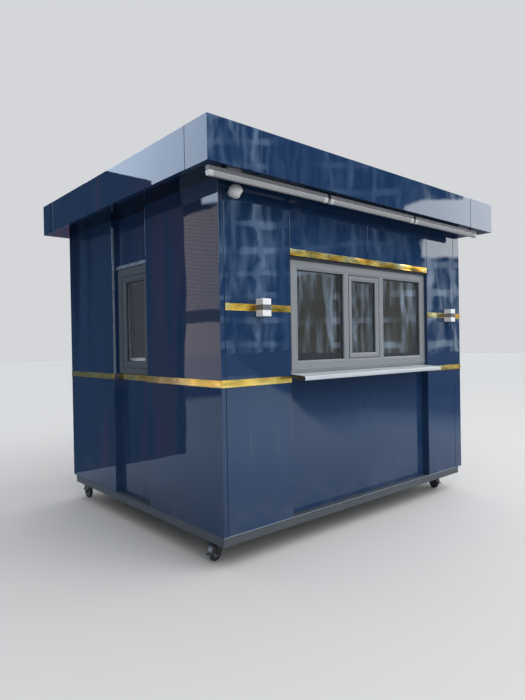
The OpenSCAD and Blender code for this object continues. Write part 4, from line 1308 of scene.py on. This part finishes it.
    def drape(self) -> None:
        """Makes the dark drape that hangs behind the kiosk, seen only in gloss."""
        (x0, x1), y, top = self.drape_sides, self.drape_y, self.drape_top
        corners = [(x0, y, 0), (x1, y, 0), (x1, y, top), (x0, y, top)]
        drape, t = self.sheet("dark_drape", corners, "dark_drape_cloth")
        folds = t.noise(t.stretched(t.place, self.drape_folds), scale=1.0)
        cloth = t.add("ShaderNodeEmission", {"Color": t.stops(folds, self.drape_tones)})
        t.add("ShaderNodeOutputMaterial", {"Surface": cloth.outputs[0]})
        for ray in ("camera", "diffuse", "transmission", "shadow", "volume_scatter"):
            setattr(drape, f"visible_{ray}", False)


# Sub-assemblies


@dataclass
class Cladding:
    """Cassettes of the walls and the roof, the strips in their open joints, the trims and the lining. The
    joint strips are lighter than the navy so that the joints read as the cassettes' bright folded edges:
    partly real seal, partly painted highlight.

    A depth is measured behind the wall's face, and a span holds where something starts and ends. The rear
    wall's seams are shares of its width.
    """

    body: Body
    joint: float = 5 * MM
    header_seam: float = 902 * MM
    rear_seams: Span = (1 / 3, 2 / 3)
    wall_seal_depth: Span = (6 * MM, 13 * MM)
    wall_seal_end: float = 3 * MM
    wall_seal_clear: float = 0.3 * MM
    roof_seal_depth: float = 7 * MM
    roof_seal_end: float = 4 * MM
    roof_seal_clear: float = 1 * MM
    angle_depth: Span = (1 * MM, 20 * MM)
    angle_side: Span = (-1.3 * MM, -0.1 * MM)
    angle_end: float = 70 * MM
    # The pale strip on the bay's near edge is a painted highlight.
    highlight_strip_depth: Span = (-0.4 * MM, 2.4 * MM)
    highlight_strip_side: Span = (0.1 * MM, 3.4 * MM)
    highlight_strip_start: float = 8 * MM
    highlight_strip_end: float = 20 * MM
    # The pale strip at the foot is a painted highlight of the cassettes' foot edge.
    foot_highlight_depth: Span = (-2.2 * MM, -0.2 * MM)
    foot_highlight_height: Span = (-1 * MM, 3.5 * MM)
    ribs: int = 7
    screws_on_rib: int = 7
    screw_margin: float = 90 * MM
    screw: HexHead = HexHead(washer=6.8 * MM, rim=1.0 * MM, crown=1.4 * MM, foot=4.4 * MM, shoulder=4.2 * MM,
                             crest=3.4 * MM, top=5.2 * MM, segments=16)

    def build(self) -> None:
        """Dresses the cassettes, the lining, the roof and the base, and adds seals, trims, pale strips of
        painted highlight and screws.
        """
        dress(Palette.navy, "front_left_pillar", "front_right_pillar", "front_header", "front_apron",
              "left_near_panel", "left_far_panel", "left_bay_panels", "right_panels", "rear_panels",
              "fascia_corners", "fascia_front", "fascia_left", "fascia_right", "fascia_rear")
        dress(Palette.flashing_and_highlight, "side_window_head")
        dress(Palette.soffit, "soffit")
        dress(Palette.gold, "gold_strips")
        dress(Palette.lining, "front_wall_core", "left_wall_core", "right_wall_core", "rear_wall_core",
              "ceiling_panel")
        dress(Palette.floor, "floor_deck")
        dress(Palette.roof, "roof_deck")
        dress(Palette.base, "base_long_rails", "base_cross_rails")
        # The joint strips' lighter tone is partly a painted highlight.
        make_piece("roof_joint_seals_and_highlight", self.roof_seals(), Palette.sealant_and_highlight, bevel=0.4 * MM)
        make_piece("wall_joint_seals_and_highlight", self.wall_seals(), Palette.sealant_and_highlight)
        # The bay's pale strip is a painted highlight.
        make_piece("side_bay_trim_and_highlight", self.bay_trim_and_highlight(), Palette.flashing_and_highlight, bevel=0.3 * MM)
        # A pale strip painted as the highlight on the cassettes' foot.
        make_piece("front_foot_highlight_strip", self.foot_highlight_strip(), Palette.flashing_and_highlight, bevel=0.4 * MM)
        make_piece("roof_sheet_screws", self.roof_screws(), Palette.zinc)

    def wall_seals(self) -> Shape:
        """Makes strips behind the faces of the walls' upright joints.

        Returns:
            The strips in the front wall, the rear wall and at the rear corners.
        """
        left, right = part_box("front_left_pillar"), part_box("front_right_pillar")
        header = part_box("front_header")
        b, gap, clear, end = self.body, self.joint, self.wall_seal_clear, self.wall_seal_end
        outer, inner = self.wall_seal_depth
        foot, top = b.foot + end, b.top - end
        seam = header[0].x - gap + self.header_seam - gap / 2
        strips = []
        for x, start in ((left[0].x - gap, foot), (left[1].x, header[0].z), (right[0].x - gap, header[0].z),
                         (right[1].x, foot), (seam, header[0].z)):
            strips.append(((x + clear, b.front + outer, start + end),
                           (x + gap - clear, b.front + inner, top)))
        for share in self.rear_seams:
            x = b.left + share * (b.right - b.left) - gap / 2
            strips.append(((x + clear, b.rear - inner, foot), (x + gap - clear, b.rear - outer, top)))
        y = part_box("left_far_panel")[1].y
        for x in (b.left + outer, b.right - inner):
            strips.append(((x, y + clear, foot), (x + inner - outer, y + gap - clear, top)))
        return boxes(*zip(*strips))

    def bay_trim_and_highlight(self) -> Shape:
        """Makes the thin angle on the left bay's far side, and on its near edge a pale strip that stands in
        for the highlight on the near panel's rounded edge, a painted highlight.

        Returns:
            The angle and the highlight strip.
        """
        near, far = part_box("left_near_panel")[1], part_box("left_far_panel")[0]
        window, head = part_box("side_window_frame")[0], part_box("side_window_head")[1]
        x, top = self.body.left, self.body.top
        angle = ((x + self.angle_depth[0], far.y + self.angle_side[0], window.z),
                 (x + self.angle_depth[1], far.y + self.angle_side[1], top - self.angle_end))
        # A pale strip on the near edge stands in for its highlight: a painted highlight.
        bead = ((x + self.highlight_strip_depth[0], near.y + self.highlight_strip_side[0], head.z + self.highlight_strip_start),
                (x + self.highlight_strip_depth[1], near.y + self.highlight_strip_side[1], top - self.highlight_strip_end))
        return boxes(*zip(angle, bead))

    def foot_highlight_strip(self) -> Shape:
        """Makes a thin pale strip along the front of the cassettes' foot, a painted highlight of the foot's
        edge.

        Returns:
            The strip.
        """
        b, right = self.body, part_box("front_right_pillar")[1].x
        low = (b.left, b.front + self.foot_highlight_depth[0], b.foot + self.foot_highlight_height[0])
        return boxes(low, (right, b.front + self.foot_highlight_depth[1], b.foot + self.foot_highlight_height[1]))

    def roof_screws(self) -> Shape:
        """Makes washer-headed screws in rows along the ribs of the roof sheet.

        Returns:
            The screws.
        """
        low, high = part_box("roof_deck")
        pitch = (high.x - low.x) / (self.ribs + 1)
        across = low.x + pitch * np.arange(1, self.ribs + 1)
        ahead = np.linspace(low.y + self.screw_margin, high.y - self.screw_margin, self.screws_on_rib)
        screw = self.screw.build()
        return Shape.join(screw.moved(facing((0, 0, 1), (x, y, high.z))) for x in across for y in ahead)

    def roof_seals(self) -> Shape:
        """Makes strips behind the faces of the eight joints between the fascia's cassettes.

        Returns:
            The strips.
        """
        corner, front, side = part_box("fascia_corners"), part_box("fascia_front"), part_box("fascia_left")
        outer, inner = self.roof_seal_depth, front[1].y - front[0].y - self.roof_seal_clear
        (x0, y0, foot), (x1, y1, top), gap = *corner, self.joint
        foot, top = foot + self.roof_seal_end, top - self.roof_seal_end
        strips = []
        for x in (front[0].x - gap, front[1].x):
            for start, end in ((y0 + outer, y0 + inner), (y1 - inner, y1 - outer)):
                strips.append(((x, start, foot), (x + gap, end, top)))
        for y in (side[0].y - gap, side[1].y):
            for start, end in ((x0 + outer, x0 + inner), (x1 - inner, x1 - outer)):
                strips.append(((start, y, foot), (end, y + gap, top)))
        return boxes(*zip(*strips))


@dataclass(frozen=True)
class Glazing:
    """A sealed unit in place of a solid pane: two sheets, a spacer between them and gaskets at the bead.

    The bite is how far the bead covers the pane, and the spacer's span and the tuck are measured from it.
    """

    sheet: float = 4 * MM
    bite: float = 12 * MM
    spacer: Span = (-3 * MM, 4 * MM)
    gasket: float = 5 * MM
    tuck: float = 0.2 * MM
    slope_share: float = 0.7
    lip_share: float = 0.4

    def unit(self, pane: Corners, wall: Wall, body: Body) -> tuple[Shape, Shape, Shape]:
        """Makes one unit in its place.

        Args:
            pane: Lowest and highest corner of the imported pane.
            wall: The wall that it stands in.
            body: The clad body.

        Returns:
            The sheets, the spacer and the gaskets.
        """
        (a0, d0, z0), (a1, d1, z1) = wall.corners(body, *pane)
        sheets = boxes([(a0, d0, z0), (a0, d1 - self.sheet, z0)], [(a1, d0 + self.sheet, z1), (a1, d1, z1)])
        thick, b, g = d1 - d0, self.bite, self.gasket
        between = rectangle((b + self.spacer[0], b + self.spacer[1]), (self.sheet, thick - self.sheet))
        outer = np.array([(b - self.tuck, -g), (b + g * self.slope_share, -g), (b + g, -g * self.lip_share),
                          (b + g, 0.0), (b - self.tuck, 0.0)])
        inner = outer[::-1] * (1, -1) + (0, thick)
        gaskets = Shape.join(wall.ring(body, pane, section) for section in (outer, inner))
        return wall.place(body, sheets), wall.ring(body, pane, between), gaskets


@dataclass(frozen=True)
class Sash:
    """An opening sash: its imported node, its wall and how far its handle stands from its edge."""

    node: str
    wall: Wall
    handle_inset: float


@dataclass
class Windows:
    """Serving window, side window and the door's frame: profiles, glazing units, seals that also paint the
    shade round the sashes, handles, drain caps.

    The handle's parts are boxes in wall coordinates about the handle's middle, in millimetres.
    """

    body: Body
    glazing: Glazing = Glazing()
    sashes: tuple[Sash, ...] = (Sash("window_sash", Wall.FRONT, 21 * MM),
                                Sash("side_window_sash", Wall.LEFT, 26 * MM))
    # The sash seals also stand in for the shadow line round each sash: partly real seal, partly painted
    # shade.
    seal_inset: Span = (-1.8 * MM, 2.4 * MM)
    seal_depth: Span = (-1 * MM, 2 * MM)
    handle_rose: tuple = ((-7, 0, -32), (7, 9, 32))
    handle_neck: tuple = ((-6, 9, -7), (6, 26, 7))
    handle_lever: tuple = ((-7, 24, -105), (7, 36, 9))
    cap_size: Point = (32 * MM, 4.5 * MM, 8 * MM)
    cap_inset: float = 200 * MM
    cap_proud: float = 4 * MM
    cap_height: float = 22 * MM
    pane_gap: float = 1 * MM
    pane_decimals: int = 4

    def build(self) -> None:
        """Dresses the profiles and puts glazing units in place of the solid panes."""
        dress(Palette.frame, "window_frame", "window_sash", "window_sill", "door_frame")
        # The side window's frames take the darker copy of the frame's foil, a painted shade.
        dress(Palette.side_frame_painted_shade, "side_window_frame", "side_window_sash")
        # Black seals round the sashes, partly a painted shade line.
        make_piece("sash_seals_and_shade", self.sash_seals_and_shade(), Palette.rubber)
        make_piece("sash_handles", self.sash_handles(), Palette.black, bevel=1.5 * MM)
        make_piece("window_drain_caps", self.drain_caps(), Palette.frame, bevel=0.6 * MM)
        for name, wall in (("window_glass", Wall.FRONT), ("sash_glass", Wall.FRONT),
                           ("side_window_glass", Wall.LEFT)):
            units = [self.glazing.unit(pane, wall, self.body) for pane in self.panes(name)]
            sheets, spacer, gaskets = (Shape.join(parts) for parts in zip(*units))
            glass = make_piece(f"{name}_sheets", sheets, Palette.glass)
            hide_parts(name)
            make_piece(f"{name}_spacer", spacer, Palette.spacer)
            make_piece(f"{name}_gaskets", gaskets, Palette.rubber)

    def sash_seals_and_shade(self) -> Shape:
        """Returns rubber seals round the outer edges of the two sashes, a little proud of their faces; they
        also stand in for the shadow line round each sash, a painted shade.
        """
        section = rectangle(self.seal_inset, self.seal_depth)
        return Shape.join(sash.wall.ring(self.body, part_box(sash.node), section) for sash in self.sashes)

    def sash_handles(self) -> Shape:
        """Makes the handles on the room side of the two sashes.

        Returns:
            A rose, a neck and a lever for each sash.
        """
        parts = np.array([self.handle_rose, self.handle_neck, self.handle_lever]) * MM
        handles = []
        for sash in self.sashes:
            low, high = sash.wall.corners(self.body, *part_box(sash.node))
            spot = (high[0] - sash.handle_inset, high[1], (low[2] + high[2]) / 2)
            handles.append(sash.wall.place(self.body, boxes(parts[:, 0] + spot, parts[:, 1] + spot)))
        return Shape.join(handles)

    def drain_caps(self) -> Shape:
        """Makes the caps over the drain slots in the front frame's foot.

        Returns:
            Three caps.
        """
        low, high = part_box("window_frame")
        width = self.cap_size[0]
        middles = (low.x + self.cap_inset, (low.x + high.x) / 2, high.x - self.cap_inset)
        start = np.array([(x - width / 2, low.y - self.cap_proud, low.z + self.cap_height) for x in middles])
        return boxes(start, start + self.cap_size)

    def panes(self, name: str) -> list[Corners]:
        """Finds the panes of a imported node, which are parted at gaps along the wall.

        Args:
            name: The node's name.

        Returns:
            The lowest and highest corner of each pane.
        """
        mesh = frame["nodes"][name].data
        points = np.zeros(len(mesh.vertices) * 3, np.float32)
        mesh.vertices.foreach_get("co", points)
        points = points.reshape(-1, 3)
        along = 0 if np.ptp(points[:, 0]) > np.ptp(points[:, 1]) else 1
        place = points[:, along]
        panes = []
        for start, end in np.unique(place.round(self.pane_decimals)).reshape(-1, 2):
            part = points[(place > start - self.pane_gap) & (place < end + self.pane_gap)]
            panes.append((Vector(part.min(0).tolist()), Vector(part.max(0).tolist())))
        return panes


@dataclass
class Shelf:
    """Serving shelf with its caps and brackets."""

    def build(self) -> None:
        """Dresses the shelf."""
        dress(Palette.shelf, "serving_shelf")
        dress(Palette.black, "shelf_end_caps", "shelf_brackets")


@dataclass
class Fittings:
    """Soffit lights, wall lamps, security camera, and the door's leaf and fittings.

    The camera's ball and lens are given by their diameters and the lens's direction in degrees. The points
    of the lens and its ring are (share of the lens's radius, height over its seat in millimetres).
    """

    body: Body
    ball: float = 94 * MM
    lens: float = 38 * MM
    lens_turn: float = 44.0
    lens_tilt: float = 34.0
    lens_points: tuple[Span, ...] = ((0.0, 0.1), (0.78, 0.1), (0.76, 0.9), (0.5, 1.6), (0.0, 2.0))
    ring_points: tuple[Span, ...] = ((0.80, 0.1), (0.99, 0.1), (0.97, 1.5), (0.84, 1.5))
    segments: int = 40
    door_seal_inset: Span = (-2.6 * MM, -0.2 * MM)
    door_seal_depth: Span = (1 * MM, 8 * MM)

    def build(self) -> None:
        """Dresses the fittings and adds the camera's lens and ring and the door's seal."""
        for finish, node in ((Palette.aluminium, "light_bodies"), (Palette.band, "lamp_bands"),
                             (Palette.black, "light_fixings"), (Palette.cap, "light_end_caps"),
                             (Palette.diffuser, "light_diffusers"), (Palette.opal, "lamp_lenses"),
                             (Palette.white, "security_camera"), (Palette.navy, "door_leaf"),
                             (Palette.chrome, "door_handle"), (Palette.zinc, "door_hinges")):
            dress(finish, node)
        spot, scale = self.lens_seat(), (self.lens / 2, MM)
        glass = lathe(np.array(self.lens_points) * scale, self.segments)
        ring = lathe(np.array(self.ring_points) * scale, self.segments, closed=True)
        make_piece("camera_lens", glass.moved(spot), Palette.lens)
        make_piece("camera_lens_ring", ring.moved(spot), Palette.black)
        seal = rectangle(self.door_seal_inset, self.door_seal_depth)
        round_leaf = Wall.RIGHT.ring(self.body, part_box("door_leaf"), seal)
        make_piece("door_seal", round_leaf, Palette.rubber)

    def lens_seat(self) -> Array:
        """Finds the lens's seat, where a disc as wide as the lens cuts the camera's ball.

        Returns:
            The matrix that puts a lathed shape on the seat, looking outwards.
        """
        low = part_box("security_camera")[0]
        centre = Vector(c + self.ball / 2 for c in low)
        turn, tilt = math.radians(self.lens_turn), math.radians(self.lens_tilt)
        way = Vector((math.cos(turn) * math.cos(tilt), -math.sin(turn) * math.cos(tilt), -math.sin(tilt)))
        return facing(way, centre + way * math.sqrt(self.ball ** 2 - self.lens ** 2) / 2)


@dataclass
class Castors:
    """Swivel castors under the base frame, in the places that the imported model's joints give."""

    places: tuple[str, ...] = ("front_left", "front_right", "rear_left", "rear_right")
    plate: float = 5 * MM
    bolt_spread: Span = (34 * MM, 44 * MM)
    bolt: HexHead = HexHead(washer=7.5 * MM, rim=1.2 * MM, crown=1.2 * MM, foot=6.2 * MM, shoulder=6.2 * MM,
                            crest=5.2 * MM, top=4.8 * MM, segments=20)
    wheel_face: float = 10 * MM
    disc_inner: float = 20 * MM
    disc_outer: float = 41 * MM
    disc_chamfer: float = 1 * MM
    disc_height: Span = (0.05 * MM, 0.8 * MM)
    segments: int = 40

    def build(self) -> None:
        """Dresses the castors and adds their plates' bolts and the discs on their wheels."""
        dress(Palette.steel, "castor_plates", *(f"castor_fork_{place}" for place in self.places))
        make_piece("castor_plate_bolts", self.bolts(), Palette.zinc)
        for place in self.places:
            make_piece(f"castor_hub_discs_{place}", self.discs(place), Palette.aluminium,
                       body=f"wheel_{place}")
        dress(Palette.tyre, *(f"castor_wheel_{place}" for place in self.places))

    @staticmethod
    def joint(name: str) -> dict:
        """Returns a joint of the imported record."""
        return next(joint for joint in frame["record"]["behaviour"]["joints"] if joint["name"] == name)

    def bolts(self) -> Shape:
        """Makes four bolt heads with washers under each castor's plate.

        Returns:
            The bolt heads.
        """
        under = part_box("castor_plates")[1].z - self.plate
        bolt, (across, ahead) = self.bolt.build(), self.bolt_spread
        seats = [self.joint(f"castor_swivel_{place}")["pos_m"] for place in self.places]
        return Shape.join(bolt.moved(facing((0, 0, -1), (x + dx * across, y + dy * ahead, under)))
                          for x, y, _ in seats for dx in (-1, 1) for dy in (-1, 1))

    def discs(self, place: str) -> Shape:
        """Makes the pale discs on both sides of a wheel's web.

        Args:
            place: The castor's place.

        Returns:
            Two discs, one at each end of the axle.
        """
        low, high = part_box(f"castor_wheel_{place}")
        side = Vector(self.joint(f"wheel_roll_{place}")["axis"])
        inner, outer, rim, (foot, top) = self.disc_inner, self.disc_outer, self.disc_chamfer, self.disc_height
        section = [(inner, foot), (outer, foot), (outer - rim, top), (inner + rim, top)]
        disc = lathe(section, self.segments, closed=True)
        centre = (low + high) / 2
        return Shape.join(disc.moved(facing(way, centre + way * self.wheel_face)) for way in (side, -side))


def main() -> None:
    """Builds the scene: camera, studio, then each sub-assembly."""
    logging.basicConfig(level=logging.INFO, format="%(name)s: %(message)s")
    bpy.context.scene.view_settings.view_transform = "Standard"
    Photo().build()
    Studio().build()
    body = Body.read()
    for assembly in (Cladding(body), Windows(body), Shelf(), Fittings(body), Castors()):
        assembly.build()
        LOG.info("built %s", type(assembly).__name__)


if __name__ == "__main__":
    main()
